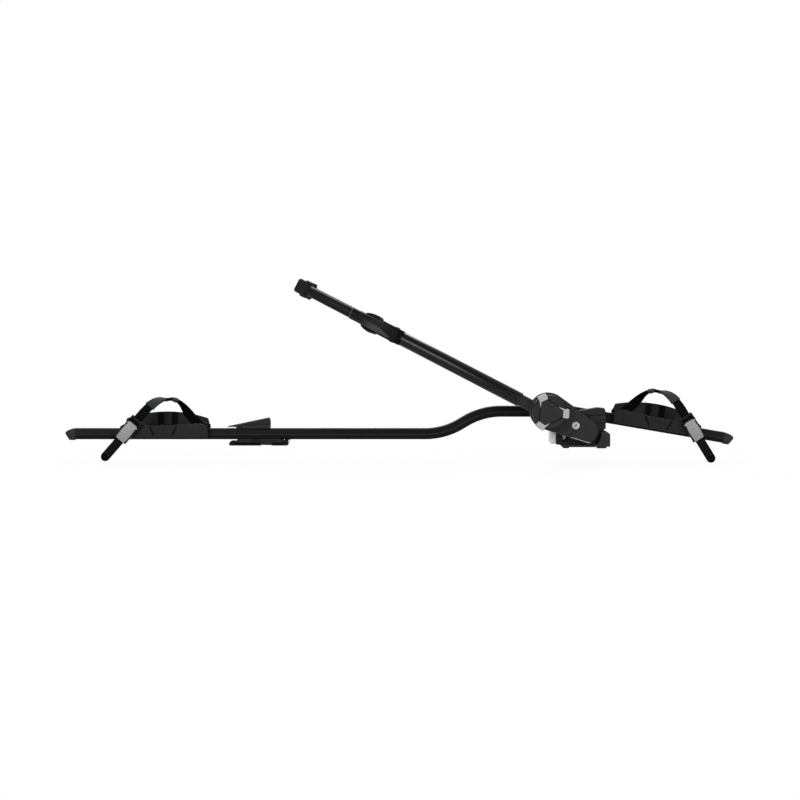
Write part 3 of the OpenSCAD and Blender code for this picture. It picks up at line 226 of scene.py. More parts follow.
def softened(node, material, width):
    """The node's own solid with its flat facets merged and each sharp edge rounded to the width in mm."""
    mesh = frame["nodes"][node].data.copy()
    work = bmesh.new()
    work.from_mesh(mesh)
    bmesh.ops.remove_doubles(work, verts=work.verts, dist=SOLID_MERGE_M)
    bmesh.ops.dissolve_limit(work, angle_limit=FLAT_ANGLE, verts=work.verts, edges=work.edges)
    work.to_mesh(mesh)
    work.free()
    mesh.polygons.foreach_set("use_smooth", [True] * len(mesh.polygons))
    piece = ridden(node + "_finished", mesh, material, [node], True)
    edge = piece.modifiers.new("rounded_edges", "BEVEL")
    edge.width, edge.segments = width / 1000, EDGE_SEGMENTS
    edge.limit_method, edge.angle_limit = "ANGLE", EDGE_ANGLE
    edge.use_clamp_overlap, edge.harden_normals = False, True


for end in ("rear", "front"):
    softened(end + "_end_cap", cap_black, CAP_ROUND)

# Front foot: a glass-filled nylon body on a rubber sole, with a saddle under the bent rail, a
# tower for the clamp lever, a bright nose and a grey catch that frees the arm.
UPRIGHT = np.array([(1, 0, 0), (0, 0, 1), (0, 1, 0)])
NOSE_NEAR, NOSE_FAR, NOSE_ROUND = -60, -14, 1.8
foot_black = finish("foot_plastic", (0.0185, 0.0185, 0.019), 0.5, 0.08)
sole_rubber = finish("sole_rubber", (0.007, 0.007, 0.0075), 0.75, 0.05, 500, 0.06)
nose_silver = finish("nose_silver", (0.6, 0.6, 0.61), 0.34, 0.4, 1200, 0.01, metal=0.25, mottle=0.03)
catch_grey = finish("catch_grey", (0.24, 0.245, 0.25), 0.45, 0.3)
for node, material, width in (("foot_base", foot_black, 0.15), ("tray_saddle", foot_black, 1.0),
        ("front_clamp_tower", foot_black, 1.0), ("foot_sole", sole_rubber, 0.8),
        ("arm_catch", catch_grey, 0.6)):
    softened(node, material, width)


def oblong(low, high, radius, steps):
    """A rounded rectangle between its low and its high corner."""
    return rounded_loop([low, (high[0], low[1]), high, (low[0], high[1])], radius, steps)


def carried(loop, heights, insets):
    """A closed outline lifted to each height and drawn in by each inset along its corners' normals."""
    p = np.asarray(loop, float)
    edge = np.roll(p, -1, 0) - p
    out = np.stack([edge[:, 1], -edge[:, 0]], -1) / np.linalg.norm(edge, axis=1)[:, None]
    corner = (out + np.roll(out, 1, 0)) / (1 + (out * np.roll(out, 1, 0)).sum(1))[:, None]
    flat = p[None] - np.asarray(insets, float)[:, None, None] * corner[None]
    lift = np.broadcast_to(np.asarray(heights, float)[:, None, None], flat.shape[:2] + (1,))
    return np.concatenate([flat, lift], -1)


def filleted(low, high, low_r, high_r, steps=6):
    """Heights and insets of a slab from low to high whose two rims are quarter rounds."""
    a = np.linspace(0, math.pi / 2, steps)
    return (np.concatenate([low + low_r * (1 - np.cos(a)), high - high_r * (1 - np.cos(a[::-1]))]),
        np.concatenate([low_r * (1 - np.sin(a)), high_r * (1 - np.sin(a[::-1]))]))


nose_loop = oblong((-75, 6), (-62, 33), [5, 3, 3, 5], 6)
nose = carried(nose_loop, *filleted(NOSE_NEAR, NOSE_FAR, NOSE_ROUND, NOSE_ROUND))
skin("nose", placed(nose, UPRIGHT, (0, 0, 0)), nose_silver, ["foot_nose"])

# Clamp levers: one on each foot, a black moulded wedge that flips over its cam heel and pulls
# a square-headed bolt up against the roof bar's slot. A guard behind the heel stands on its seat.
FRONT_PIN, REAR_PIN = (36, -45, 75.2), (-683, 0, 52.25)
CAM_MID, CAM_R, CAM_FROM, CAM_TO = (-0.6, -0.6), 8.1, -86, 26
LEVER_HALF, LEVER_ROUND, LEVER_STEPS = 12.5, 1.0, 5
LEDGE_HALF, LEDGE_ROUND, GUARD_FROM, FRONT_GUARD_TO, REAR_GUARD_TO = 12.4, 0.6, 2.2, 8.1, 7.6
BOSS_AT, BOSS_R, BOSS_FACE, BOSS_ROOT = (36.6, 0, 53.8), 6.0, -57.66, -57.2
ENDWISE = np.array([(0, 1, 0), (0, 0, 1), (1, 0, 0)])
lever_black = finish("lever_plastic", (0.0145, 0.0145, 0.015), 0.46, 0.08)


def arc(centre, radius, start, end, steps):
    """Points of a circle's arc between two angles in degrees."""
    a = np.radians(np.linspace(start, end, steps))
    return np.asarray(centre) + radius * np.column_stack([np.cos(a), np.sin(a)])


def prism(loop, low, high):
    """A closed outline raised straight from low to high."""
    return carried(loop, [low, high], [0, 0])


heel = arc(CAM_MID, CAM_R, CAM_FROM, CAM_TO, 24)
front_back = [(5.3, 6.9), (-9.4, 8.5), (-84.2, -4.4), (-84.2, -12.2)]
rear_back = [(5.3, 6.9), (-40, -2.6), (-84.2, -12.0), (-84.2, -12.8)]
finger_step = [(-48.2, -13.4), (-48.1, -8.75)]
wedge_rounds = [0.1, 1.6, 2.0, 0.4, 0.4, 0.4, 0.4, 0.1]
guard_loop = [(11.2, -13.4), (13.4, -13.4), (13.4, -0.5), (12.7, -0.5), (12.7, -9.3), (11.2, -9.3)]
for end, seat, back, guard_to, pin in (
        ("front", "front_clamp_tower", front_back, FRONT_GUARD_TO, FRONT_PIN),
        ("rear", "rear_lever_base", rear_back, REAR_GUARD_TO, REAR_PIN)):
    grip = rounded_loop([heel[-1], *back, *finger_step, heel[0]], wedge_rounds, LEVER_STEPS)
    wedge = np.vstack([heel, grip[LEVER_STEPS + 1:-LEVER_STEPS - 1]])
    lever = carried(wedge, *filleted(-LEVER_HALF, LEVER_HALF, LEVER_ROUND, LEVER_ROUND))
    skin(end + "_flip_lever", placed(lever, UPRIGHT, pin), lever_black, [end + "_clamp_lever"])
    guard = prism(guard_loop, GUARD_FROM, guard_to)
    skin(end + "_heel_guard", placed(guard, ENDWISE, pin), lever_black, [seat], hides=False)
ledge = prism(oblong((2.5, -13.6), (8.1, -9.3), LEDGE_ROUND, 3), -LEDGE_HALF, LEDGE_HALF)
# A thin near-black disc on the front of the tower's boss: painted shade in a ring round the boss.
boss_shade_rim = prism(arc((0, 0), BOSS_R, 0, 345, 24), BOSS_FACE, BOSS_ROOT)
for name, shape, at, material in (("front_ledge", ledge, FRONT_PIN, lever_black),
        ("boss_shade_ring", boss_shade_rim, BOSS_AT, sole_rubber)):
    skin(name, placed(shape, UPRIGHT, at), material, ["front_clamp_tower"], hides=False)

# Rear foot: a moulded saddle that slides under the rail, its rubber sole with raised end blocks
# and bright screws, and the lever's base on top of the rail.
saddle_black = finish("saddle_plastic", (0.011, 0.011, 0.0115), 0.5, 0.08)
for node, material, width in (("rear_foot_saddle", saddle_black, 0.8), ("rear_foot_sole", sole_rubber, 1.2),
        ("rear_lever_base", foot_black, 0.8)):
    softened(node, material, width)

# Wheel cradles: injection moulded troughs bolted into the rail's upper slot, low towards the
# dial and arched behind the wheel, with a grooved panel in front and two pockets behind.
CRADLE_ROUND, PANEL_ROUND, POCKET_ROUND = 0.8, 1.0, 0.8
GROOVE_Y, FINE_GROOVE_Y, GROOVE_H = -38.3, -38.2, 0.5
PANEL_FACE, PANEL_ROOT, PANEL_EDGE = -38.25, -35.5, 0.3
POCKET_W, POCKET_LOW, POCKET_TOP, POCKET_FACE, POCKET_ROOT = 12.4, 18.4, 44.6, 35.9, 36.2
REAR_CRADLE_X, FRONT_CRADLE_T, NOSE_FROM = -902.0, 174, (-15.645, 70.6555)
NOSE_C, NOSE_S = math.cos(NOSE_A), math.sin(NOSE_A)
CRADLES = (("rear", np.eye(3), np.array((REAR_CRADLE_X, 0, RAIL_Z))),
    ("front", np.array([(-NOSE_C, 0, NOSE_S), (0, 1, 0), (NOSE_S, 0, NOSE_C)]),
        np.array((NOSE_FROM[0] + FRONT_CRADLE_T * NOSE_C, 0, NOSE_FROM[1] - FRONT_CRADLE_T * NOSE_S))))
cradle_black = finish("cradle_plastic", (0.0115, 0.0115, 0.012), 0.5, 0.07)
# A near-black finish for dark seams, rims and small plates, and for painted shade in grooves, pockets, a tip
# recess and along the housing's upper rim.
dark_parts_and_shade = finish("groove_shadow", (0.003, 0.003, 0.003), 0.7, 0.03)


def bead(path, normal, width, height):
    """A bead along an open path on a face: an ellipse at each point, its width along the face, its height
    along the normal."""
    path, normal = np.asarray(path, float), np.asarray(normal, float)
    run = np.gradient(path, axis=0)
    side = np.cross(run / np.linalg.norm(run, axis=1)[:, None], normal)
    a = np.linspace(0, 2 * math.pi, 10, endpoint=False)[None, :, None]
    return path[:, None] + width / 2 * np.cos(a) * side[:, None] + height / 2 * np.sin(a) * normal


# Near-black beads on the front panel: the side ones are painted shade in its two slanted grooves, and the
# thin middle one is a dark seam.
grooves = (("left", [(-30.2, GROOVE_Y, 18.6), (-26, GROOVE_Y, 9), (-21, GROOVE_Y, -1.8)], 3.4),
    ("right", [(27.8, GROOVE_Y, 18.6), (23, GROOVE_Y, 9), (17.6, GROOVE_Y, -1.8)], 3.4),
    ("middle", [(-2, FINE_GROOVE_Y, 17.5), (-2, FINE_GROOVE_Y, 8), (-2, FINE_GROOVE_Y, -1)], 0.7))
panel_loop = rounded_loop([(-37.5, 19.6), (-28, -2.6), (17.6, -2.6), (28, 19.6)], PANEL_ROUND, 3)
panel = carried(panel_loop, [PANEL_FACE, PANEL_ROOT], [PANEL_EDGE, 0])
for end, axes, origin in CRADLES:
    cradle = [end + "_cradle"]
    softened(end + "_cradle", cradle_black, CRADLE_ROUND)
    skin(end + "_panel", placed(panel, UPRIGHT @ axes, origin), cradle_black, cradle, hides=False)
    for name, path, width in grooves:
        groove = bead(path, (0, -1, 0), width, GROOVE_H)
        skin(end + "_groove_" + name, placed(groove, axes, origin), dark_parts_and_shade, cradle, hides=False)
    # Near-black plates set into the far wall's two pockets: painted shade in the pockets.
    for name, x in (("1", -20.7), ("2", 9.3)):
        pocket_shade_loop = oblong((x, POCKET_LOW), (x + POCKET_W, POCKET_TOP), POCKET_ROUND, 3)
        pocket_shade = placed(prism(pocket_shade_loop, POCKET_FACE, POCKET_ROOT), UPRIGHT @ axes, origin)
        skin(end + "_pocket_" + name, pocket_shade, dark_parts_and_shade, cradle, hides=False)

# Ladder straps: moulded thermoplastic bands rooted behind the far wall, wrapped over the tyre on
# a slant and drawn down through the buckle; ribs on the near leg catch the ratchet.
LEAN, STRAP_R, STRAP_HALF, STRAP_T = math.radians(41.2), 35.45, 9.7, 2.6
STRAP_CLIMB = 218.87
STRAP_L = STRAP_CLIMB / math.cos(LEAN)
ROOT_X, ROOT_RISE, WRAP_Y, WRAP_Z = 60, 13.75, -4.55, 39.75
ROOT_T, TAIL_T, TIP_LINE_T = -16, STRAP_L - 13, STRAP_L - 9
RIB_FROM, RIB_PITCH, RIB_H, RIB_STEP = 141.0, 5.0, 1.1, 0.42
RIB_UP, RIB_DOWN = (0.364, 0.504), (1, 0.86)
RIB_HIGHLIGHT, TAIL_HIGHLIGHT, TAIL_HIGHLIGHT_SPAN = 0.35, 0.65, (225, 237)
TIP_LINE, TIP_LINE_W, TIP_LINE_H = 0.9, 0.6, 0.4
WAIST, WAIST_IN, WAIST_OUT = 9.0, (20, 60), (81, 72)
SAG, SAG_IN, SAG_OUT = 4.0, (76, 86), (108, 96)
PAD_FROM, PAD_TO, PAD_ROUND = 97, 138, 0.9
PAD_DIP, DIP_FROM, DIP_TO, DIP_LIP, DIP_STEPS = 0.4, 99, 133.5, (134.3, 134.7, 135.1), 36
JOINT_FROM, JOINT_TO, JOINT_ROUND, JOINT_RIM = 61, 79, 1.2, 1.5
JOINT_WAVE, JOINT_TURNS, JOINT_STEPS = 0.3, 4, 33
STRAP_SHARP = 50
strap_black = finish("strap_black", (0.0014, 0.0014, 0.0016), 0.5, 0.015, 1500, 0.01,
    other=(0.012, 0.0125, 0.013))
joint_grey = finish("joint_block", (0.042, 0.044, 0.045), 0.5, 0.1)
pad_rubber = finish("pad_rubber", (0.026, 0.0295, 0.0305), 0.65, 0.06, 600, 0.05)


def wrapped(t, v, n):
    """Points of the wrapped strap: t along it, v across it, n out from its inner face. Its climb is the share
    of t and v that points up; past the far wall's top the climb turns into an angle round the tyre."""
    climb = t * math.cos(LEAN) + v * math.sin(LEAN) - ROOT_RISE
    x = ROOT_X - t * math.sin(LEAN) + v * math.cos(LEAN)
    a = np.clip(climb / STRAP_R, 0, math.pi)
    return np.stack([x, WRAP_Y + (STRAP_R + n) * np.cos(a),
        WRAP_Z + (STRAP_R + n) * np.sin(a) - np.abs(climb - a * STRAP_R)], -1)


def ramp(x, start, end):
    """A smooth step from 0 at start to 1 at end: three squares less two cubes of the share between them."""
    share = np.clip((x - start) / (end - start), 0, 1)
    return share * share * (3 - 2 * share)


def with_middle(rims, middle, middle_insets):
    """A filleted slab's heights and insets with more stations put in between its two rims."""
    heights, insets = rims
    half = len(heights) // 2
    return (np.concatenate([heights[:half], middle, heights[half:]]),
        np.concatenate([insets[:half], middle_insets, insets[half:]]))


tip_turn = np.linspace(-0.3, math.pi / 2 - 0.02, 26)
t = np.concatenate([np.linspace(ROOT_T, RIB_FROM - 1, 120), np.arange(RIB_FROM, TAIL_T, RIB_STEP),
    STRAP_L - STRAP_HALF + STRAP_HALF * np.sin(tip_turn)])
past = np.maximum(0, t - (STRAP_L - STRAP_HALF))
half_w = np.sqrt(np.maximum(1.0, STRAP_HALF ** 2 - past ** 2))
waist = WAIST * ramp(t, *WAIST_IN) * ramp(t, *WAIST_OUT)
sag = SAG * ramp(t, *SAG_IN) * ramp(t, *SAG_OUT)
wave = (t - RIB_FROM) / RIB_PITCH % 1
rib = ramp(wave, *RIB_UP) * ramp(wave, *RIB_DOWN) * (t > RIB_FROM) * (t < TAIL_T - 0.5)
tip_line = TIP_LINE * np.exp(-((t - TIP_LINE_T) / TIP_LINE_W) ** 2)
row = np.linspace(0.95, -0.95, 15)
edge_v = np.concatenate([np.linspace(-1, 1, 5) * 0.96, [1.0, 1.0], row, [-1.0, -1.0]])
level = np.concatenate([np.zeros(5), [0.16, 0.84], np.ones(15), [0.84, 0.16]])
ladder = np.concatenate([np.zeros(7), ramp(np.abs(row), 0.84, 0.74), np.zeros(2)])
strap_v = half_w[:, None] * edge_v + waist[:, None] * (1 - edge_v) / 2
relief = (RIB_H * rib + TIP_LINE_H * tip_line)[:, None] * ladder
strap_n = STRAP_T * level - sag[:, None] * (1 - level) + relief
strap_grid = wrapped(t[:, None] + 0 * level, strap_v, strap_n)
# The rib tops and the tip line take the strap's lighter colour, more strongly near the tail's end: a painted
# highlight where they catch the light.
strap_highlight = (rib * (RIB_HIGHLIGHT + TAIL_HIGHLIGHT * ramp(t, *TAIL_HIGHLIGHT_SPAN)) + tip_line)[:, None] * ladder

pad_loop = oblong((-11.65, -1.95), (11.65, 4.55), 2.2, 6)
pad = carried(pad_loop, *with_middle(filleted(PAD_FROM, PAD_TO, PAD_ROUND, PAD_ROUND, 5),
    np.append(np.linspace(DIP_FROM, DIP_TO, DIP_STEPS), DIP_LIP),
    np.append(np.full(DIP_STEPS, PAD_DIP), (PAD_DIP, PAD_DIP / 2, 0))))
joint_loop = oblong((-1.5, -2.4), (10.4, 4.3), 1.4, 4)
joint_turn = np.linspace(0, JOINT_TURNS * math.tau, JOINT_STEPS)
joint = carried(joint_loop, *with_middle(filleted(JOINT_FROM, JOINT_TO, JOINT_ROUND, JOINT_ROUND, 5),
    np.linspace(JOINT_FROM + JOINT_RIM, JOINT_TO - JOINT_RIM, JOINT_STEPS),
    JOINT_WAVE + JOINT_WAVE * np.cos(joint_turn)))
pad_grid, joint_grid = (wrapped(s[..., 2], s[..., 0], s[..., 1]) for s in (pad, joint))
for end, axes, origin in CRADLES:
    strap, sleeve = [end + "_strap"], [end + "_rim_pad"]
    skin(end + "_ladder_strap", placed(strap_grid, axes, origin), strap_black, strap, sharp=STRAP_SHARP,
        tone=strap_highlight)
    skin(end + "_strap_joint", placed(joint_grid, axes, origin), joint_grey, strap, hides=False)
    skin(end + "_rim_sleeve", placed(pad_grid, axes, origin), pad_rubber, sleeve, sharp=STRAP_SHARP)

# Ratchet buckles: a black frame on the cradle's near wall, and a silver barrel-shaped lever on
# a cross pin that walks the ladder strap through it.
BUCKLE = np.array([(-math.sin(LEAN), 0, -math.cos(LEAN)), (math.cos(LEAN), 0, -math.sin(LEAN)), (0, -1, 0)])
BUCKLE_AT = np.array((-78.2, -38.0, 7.0))
PLATE_FROM, PLATE_TO, PLATE_CROWN, BUCKLE_ROUND = -22.8, 23.1, 0.16, 0.7
FROM_END, MIDDLE_RUN, TO_END = 2.4, (-20, 21), 1.6
buckle_black = finish("buckle_plastic", (0.007, 0.007, 0.0075), 0.45, 0.06)
lever_silver = finish("lever_silver", (0.215, 0.218, 0.221), 0.42, 0.35, 1600, 0.008, mottle=0.03)
t = np.concatenate([PLATE_FROM + FROM_END * (1 - np.cos(np.linspace(0, math.pi / 2, 7))),
    np.linspace(*MIDDLE_RUN, 60), PLATE_TO - TO_END * (1 - np.cos(np.linspace(math.pi / 2, 0, 6)))])
wide = np.interp(t, [PLATE_FROM, -21.6, -6, 6, 21.8, PLATE_TO], [9.0, 10.2, 11.9, 11.9, 10.8, 9.6])
top = np.interp(t, [PLATE_FROM, -21.6, -17, -6, 6, 21, PLATE_TO], [11.2, 13.2, 14.7, 15.2, 14.4, 9.6, 8.6])
low = np.interp(t, [PLATE_FROM, -20, -12, 2, 20, PLATE_TO], [9.4, 7.2, 6.6, 9.6, 7.0, 7.6])
row = np.linspace(0.96, -0.96, 17)
edge_v = np.concatenate([np.linspace(-0.94, 0.94, 5), [1.0, 1.0], row, [-1.0, -1.0]])
rise = np.concatenate([np.zeros(5), [0.15, 0.75], 1 - PLATE_CROWN * row ** 2, [0.75, 0.15]])
plate = np.stack([t[:, None] + 0 * edge_v, wide[:, None] * edge_v,
    low[:, None] + (top - low)[:, None] * rise], -1)
for end, axes, origin in CRADLES:
    softened(end + "_buckle_frame", buckle_black, BUCKLE_ROUND)
    skin(end + "_silver_lever", placed(plate, BUCKLE @ axes, BUCKLE_AT @ axes + origin), lever_silver,
        [end + "_buckle_lever"], sharp=45)

# Arm housing: two nylon halves screwed together from behind, hinged on the foot, with a round
# head under the dial. A key lock sits in its face. A pale grey bead under its tail is a painted
# reflection of the white floor on the housing's rounded lower edge.
TILT = math.radians(27.2)
ARM = np.array([(-math.cos(TILT), 0, math.sin(TILT)), (0, -1, 0), (math.sin(TILT), 0, math.cos(TILT))])
ARM_AT, SHELL_T = np.array((0.0, -99.0, 29.5)), 18.7
HEAD, HEAD_R, HEAD_FROM, HEAD_TO = (96.4, 6.1), 38.9, -99.5, 99.2
SHELL_ROOT, ROOT_ROUND, FACE_ROUND, BACK_ROUND = 0.25, 0.35, 3.0, 0.6
LOCK_AT, LOCK_ROUND = (31.6, HEAD[1], 0), 0.5
TAIL_ROUND, TAIL_STEPS, PARTING_FROM, PARTING_SHORT = 6, 6, 58, 14
SEAM_R, SEAM_FROM, SEAM_TO, REFLECTION_Z, PARTING_Z = 68.0, 186, 203.5, 17.9, 15.4
PARTING_BEAD, SEAM_BEAD, REFLECTION_BEAD = (1.5, 2.4), (0.9, 0.3), (1.7, 1.3)
FACING, OUTWARD = UPRIGHT @ ARM, (0, 0, 1)
housing_black = finish("housing_plastic", (0.0185, 0.0185, 0.019), 0.48, 0.08)
lock_grey = finish("lock_metal", (0.34, 0.34, 0.345), 0.36, 0.3, 1400, 0.008, metal=0.2)
floor_reflection_grey = finish("painted_floor_reflection", (0.30, 0.30, 0.305), 0.4, 0.3)


def turned(profile, steps=96):
    """A profile of radius and height swung round its axis."""
    a = np.linspace(0, 2 * math.pi, steps, endpoint=False)
    r, h = np.asarray(profile, float).T[:, :, None]
    return np.stack([r * np.cos(a), r * np.sin(a), h + 0 * a], -1)


def level_path(points, height):
    """A flat path lifted to one height."""
    return np.column_stack([points, np.full(len(points), height)])


head = arc(HEAD, HEAD_R, HEAD_FROM, HEAD_TO, 90)
tail = rounded_loop([head[-1], (-2, 30.4), (-13.4, 21.0), (-19.2, 5.0), (-15.8, -8.0), (-8, -14.8),
    (4, -17.2), head[0]], TAIL_ROUND, TAIL_STEPS)
lens = np.vstack([head, tail[TAIL_STEPS + 1:-TAIL_STEPS - 1]])
shell = carried(lens, *filleted(SHELL_ROOT, SHELL_T, ROOT_ROUND, FACE_ROUND, 8))
skin("housing_front", placed(shell, FACING, ARM_AT), housing_black, ["housing_cover"], sharp=60)
softened("housing_back", housing_black, BACK_ROUND)
softened("lock_barrel", lock_grey, LOCK_ROUND)
lock_rim = [(8.0, 18.2), (8.0, 18.9), (8.35, 19.05), (8.75, 18.95), (8.9, 18.6), (8.9, 18.2)]
# A near-black bead along the upper part of the front half's rim: partly the parting line between the halves,
# partly painted shade on the housing's upper edge.
parting_and_shade = level_path(lens[PARTING_FROM:-PARTING_SHORT], PARTING_Z)
seam = level_path(arc(HEAD, SEAM_R, SEAM_FROM, SEAM_TO, 14), SHELL_T)
# The pale bead under the tail: a painted reflection of the white floor.
floor_reflection = level_path([(30, -20.7), (18, -18.6), (5, -16.3), (-3, -14.9), (-8, -13.9), (-12, -11.9)], REFLECTION_Z)
for name, shape, material in (("lock_ring", turned(lock_rim, 64) + LOCK_AT, dark_parts_and_shade),
        ("parting_line_and_shade", bead(parting_and_shade, OUTWARD, *PARTING_BEAD), dark_parts_and_shade),
        ("housing_seam", bead(seam, OUTWARD, *SEAM_BEAD), dark_parts_and_shade),
        ("tail_floor_reflection", bead(floor_reflection, OUTWARD, *REFLECTION_BEAD), floor_reflection_grey)):
    skin(name, placed(shape, FACING, ARM_AT), material, ["housing_cover"], hides=False)

# Arm tube: an aluminium tube in gloss black lacquer on the housing's plastic neck, leaning in over
# the tray. The spindle runs inside it from the dial's gears to the claw.
SPREAD, TUBE_OUT, NECK_ROUND = math.radians(10), 4, 0.5
SPREAD_C, SPREAD_S = math.cos(SPREAD), math.sin(SPREAD)
TUBE = np.array([(SPREAD_C, -SPREAD_S, 0), (SPREAD_S, SPREAD_C, 0), (0, 0, 1)]) @ ARM
TUBE_AT = np.array((HEAD[0], TUBE_OUT, 0)) @ ARM + ARM_AT
tube_gloss = finish("tube_lacquer", (0.0022, 0.0022, 0.0026), 0.2, 0.2, 300, 0.003, mottle=0.03)
tube_profile = [(13.2, 66.6), (14.6, 66.6), (14.9, 66.8), (15.0, 67.2), (15.0, 200), (15.0, 347.8),
    (14.9, 348.2), (14.6, 348.4), (13.2, 348.4)]
skin("tube", placed(turned(tube_profile), ENDWISE @ TUBE, TUBE_AT), tube_gloss, ["arm_tube"])
softened("arm_neck", housing_black, NECK_ROUND)

# Dial: a deep moulded drum that turns the claw's spindle, with a rounded three-cornered plateau,
# finger hollows round it, and a grey grip of three lugs with thin blades pressed in.
DIAL = np.array([(1, 0, 0), (0, 0, -1), (0, 1, 0)]) @ ARM
DIAL_AT = np.array((HEAD[0], 0, HEAD[1])) @ ARM + ARM_AT
LUG_PHASE, DIAL_STEPS = math.radians(-37), 240
CORNER_R, CORNER_ROUND, PLATEAU_Z = 17, 11, 61.2
FACE_Z, FACE_R, HOLLOW, HOLLOW_OUT, HOLLOW_W = 55.6, 33.4, 1.4, 5.0, 4.0
STEP_FOOT, STEP_TOP, RIM_ROUND = 2.2, -0.8, 1.1
STEP_SHADE, STEP_SHADE_W, RIM_SHADE, RIM_SHADE_W, RIM_SHADE_OUT = 1.3, 0.75, 33.6, 0.6, 3
LUG_IN, LUG_OUT, LUG_HALF, LUG_BOW, LUG_LOW, LUG_TOP = 27.5, 40.5, 9.5, 0.2368, 40.7, 62.7
LUG_ROUND, BOW_ROUND, LUG_LOW_ROUND, LUG_TOP_ROUND = 2.2, 0.3, 1.0, 1.4
BLADE_FROM, BLADE_TO, BLADE_IN, BLADE_ROOT, BLADE_LOW = -24, -9, 19.6, 54.5, 57.5
BLADE_RISE, RISE_SPAN, BLADE_T, BLADE_SWELL, SWELL_SPAN = 4.7, (-7, -17), 1.0, 2.4, (-8, -22)
BLADE_EDGE = 0.4
dial_black = finish("dial_plastic", (0.0185, 0.0185, 0.019), 0.46, 0.08, other=(0.0025, 0.0025, 0.0025))
grip_grey = finish("grip_grey", (0.30, 0.303, 0.306), 0.45, 0.3, 1400, 0.012, mottle=0.03)


def from_plateau(x, y):
    """Distance outside the plateau: that to a triangle whose corners point at the lugs, less its round."""
    a = LUG_PHASE + np.radians((0, 120, 240))
    corner = CORNER_R * np.column_stack([np.cos(a), np.sin(a)])
    p = np.stack([x, y], -1)[..., None, :] - corner
    side = np.roll(corner, -1, 0) - corner
    along = np.clip((p * side).sum(-1) / (side * side).sum(-1), 0, 1)
    away = np.linalg.norm(p - along[..., None] * side, axis=-1).min(-1)
    inside = (side[:, 0] * p[..., 1] - side[:, 1] * p[..., 0] > 0).all(-1)
    return np.where(inside, -away, away) - CORNER_ROUND


r = np.append(np.linspace(0.6, FACE_R, 60), (33.9, 34.3, 34.5))[:, None]
a = np.linspace(0, 2 * math.pi, DIAL_STEPS, endpoint=False)
x, y = r * np.cos(a), r * np.sin(a)
d = from_plateau(x, y)
face = FACE_Z - HOLLOW * np.exp(-((d - HOLLOW_OUT) / HOLLOW_W) ** 2)
face = face + (PLATEAU_Z - face) * ramp(d, STEP_FOOT, STEP_TOP)
face = face - np.maximum(0, (r - FACE_R) / RIM_ROUND) ** 2 * RIM_ROUND
wall = turned([(34.5, 51.2), (34.8, 50.8), (35.3, 50.5), (35.5, 50.0), (35.5, 20.2), (35.2, 19.5),
    (34.6, 19.35)], DIAL_STEPS)
drum = np.concatenate([np.stack([x, y, face], -1), wall])
# Thin lines at the plateau's step and at the finger hollows' outer edge take the dial's darker colour:
# painted shade along the steps.
rim_shade = np.exp(-((r - RIM_SHADE) / RIM_SHADE_W) ** 2) * (d > RIM_SHADE_OUT)
dial_shade_lines = np.clip(np.exp(-((d - STEP_SHADE) / STEP_SHADE_W) ** 2) + rim_shade, 0, 1)
skin("drum", placed(drum, DIAL, DIAL_AT), dial_black, ["dial_drum"], sharp=40,
    tone=np.concatenate([dial_shade_lines, np.zeros(wall.shape[:2])]))

bow = np.linspace(-LUG_BOW, LUG_BOW, 13)
lug_back = LUG_OUT * np.column_stack([np.cos(bow), np.sin(bow)])
lug_loop = rounded_loop(np.vstack([[(LUG_IN, -LUG_HALF)], lug_back, [(LUG_IN, LUG_HALF)]]),
    [LUG_ROUND] * 2 + [BOW_ROUND] * (len(bow) - 2) + [LUG_ROUND] * 2, 3)
lug = carried(lug_loop, *filleted(LUG_LOW, LUG_TOP, LUG_LOW_ROUND, LUG_TOP_ROUND))
y = np.linspace(BLADE_FROM, BLADE_TO, 16)[:, None]
crest = BLADE_LOW + BLADE_RISE * ramp(y, *RISE_SPAN)
thick = BLADE_T + BLADE_SWELL * ramp(y, *SWELL_SPAN)
blade_z = np.hstack([0 * y + BLADE_ROOT, 0 * y + BLADE_ROOT, crest - BLADE_EDGE, crest, crest,
    crest - BLADE_EDGE])
blade = np.stack([BLADE_IN + thick * np.array([0, 1, 1, 0.8, 0.2, 0]), y + 0 * blade_z, blade_z], -1)
for k in range(3):
    for name, shape, turn in (("lug", lug, 0.0), ("blade", blade, math.pi / 3)):
        c, s = (f(LUG_PHASE + k * math.tau / 3 + turn) for f in (math.cos, math.sin))
        axes = np.array([(c, s, 0), (-s, c, 0), (0, 0, 1)]) @ DIAL
        skin("grip_%s_%d" % (name, k + 1), placed(shape, axes, DIAL_AT), grip_grey, ["dial_grips"], sharp=45)

# Claw: a moulded fork on the tube's end carries two pinned jaws. Each jaw grows from a creased
# root into a round bar and ends in a rubber tip that closes round the bike's frame tube.
JAW_R, JAW_MID, JAW_SHARP = 220.0, (484.5, -171.0), 30
ROOT_A, MOUTH_A, TIP_A, END_A = 124.2, 95.6, 66.5, 59.0
EAR_A, TIP_L = TIP_A - 0.3, math.radians(TIP_A - END_A) * JAW_R
BAR_R, MOUTH_R, TIP_ROUND, END_ROUND, FORK_ROUND = 11.2, 11.8, 2.5, 5.0, 0.8
GROW_SPAN, BARREL_ACROSS, BARREL_UP = (0.45, 0.87), 12.0, 12.4
CREASE_FROM, CREASE_CLIMB, CREASE_SPAN, CREASE_ROUND, GROWN_ROUND = -12.2, 12.5, (0, 0.5), 0.9, 3
ROOT_STEPS, LOWER_FACET, FACET_LIGHT_SPAN = 7, slice(20, 28), (0, 0.15)
jaw_black = finish("jaw_plastic", (0.0045, 0.0045, 0.005), 0.38, 0.07, other=(0.045, 0.0455, 0.046))
bar_black = finish("bar_plastic", (0.0065, 0.0065, 0.007), 0.42, 0.08)
tip_rubber = finish("tip_rubber", (0.009, 0.0105, 0.0105), 0.6, 0.08, 600, 0.05)
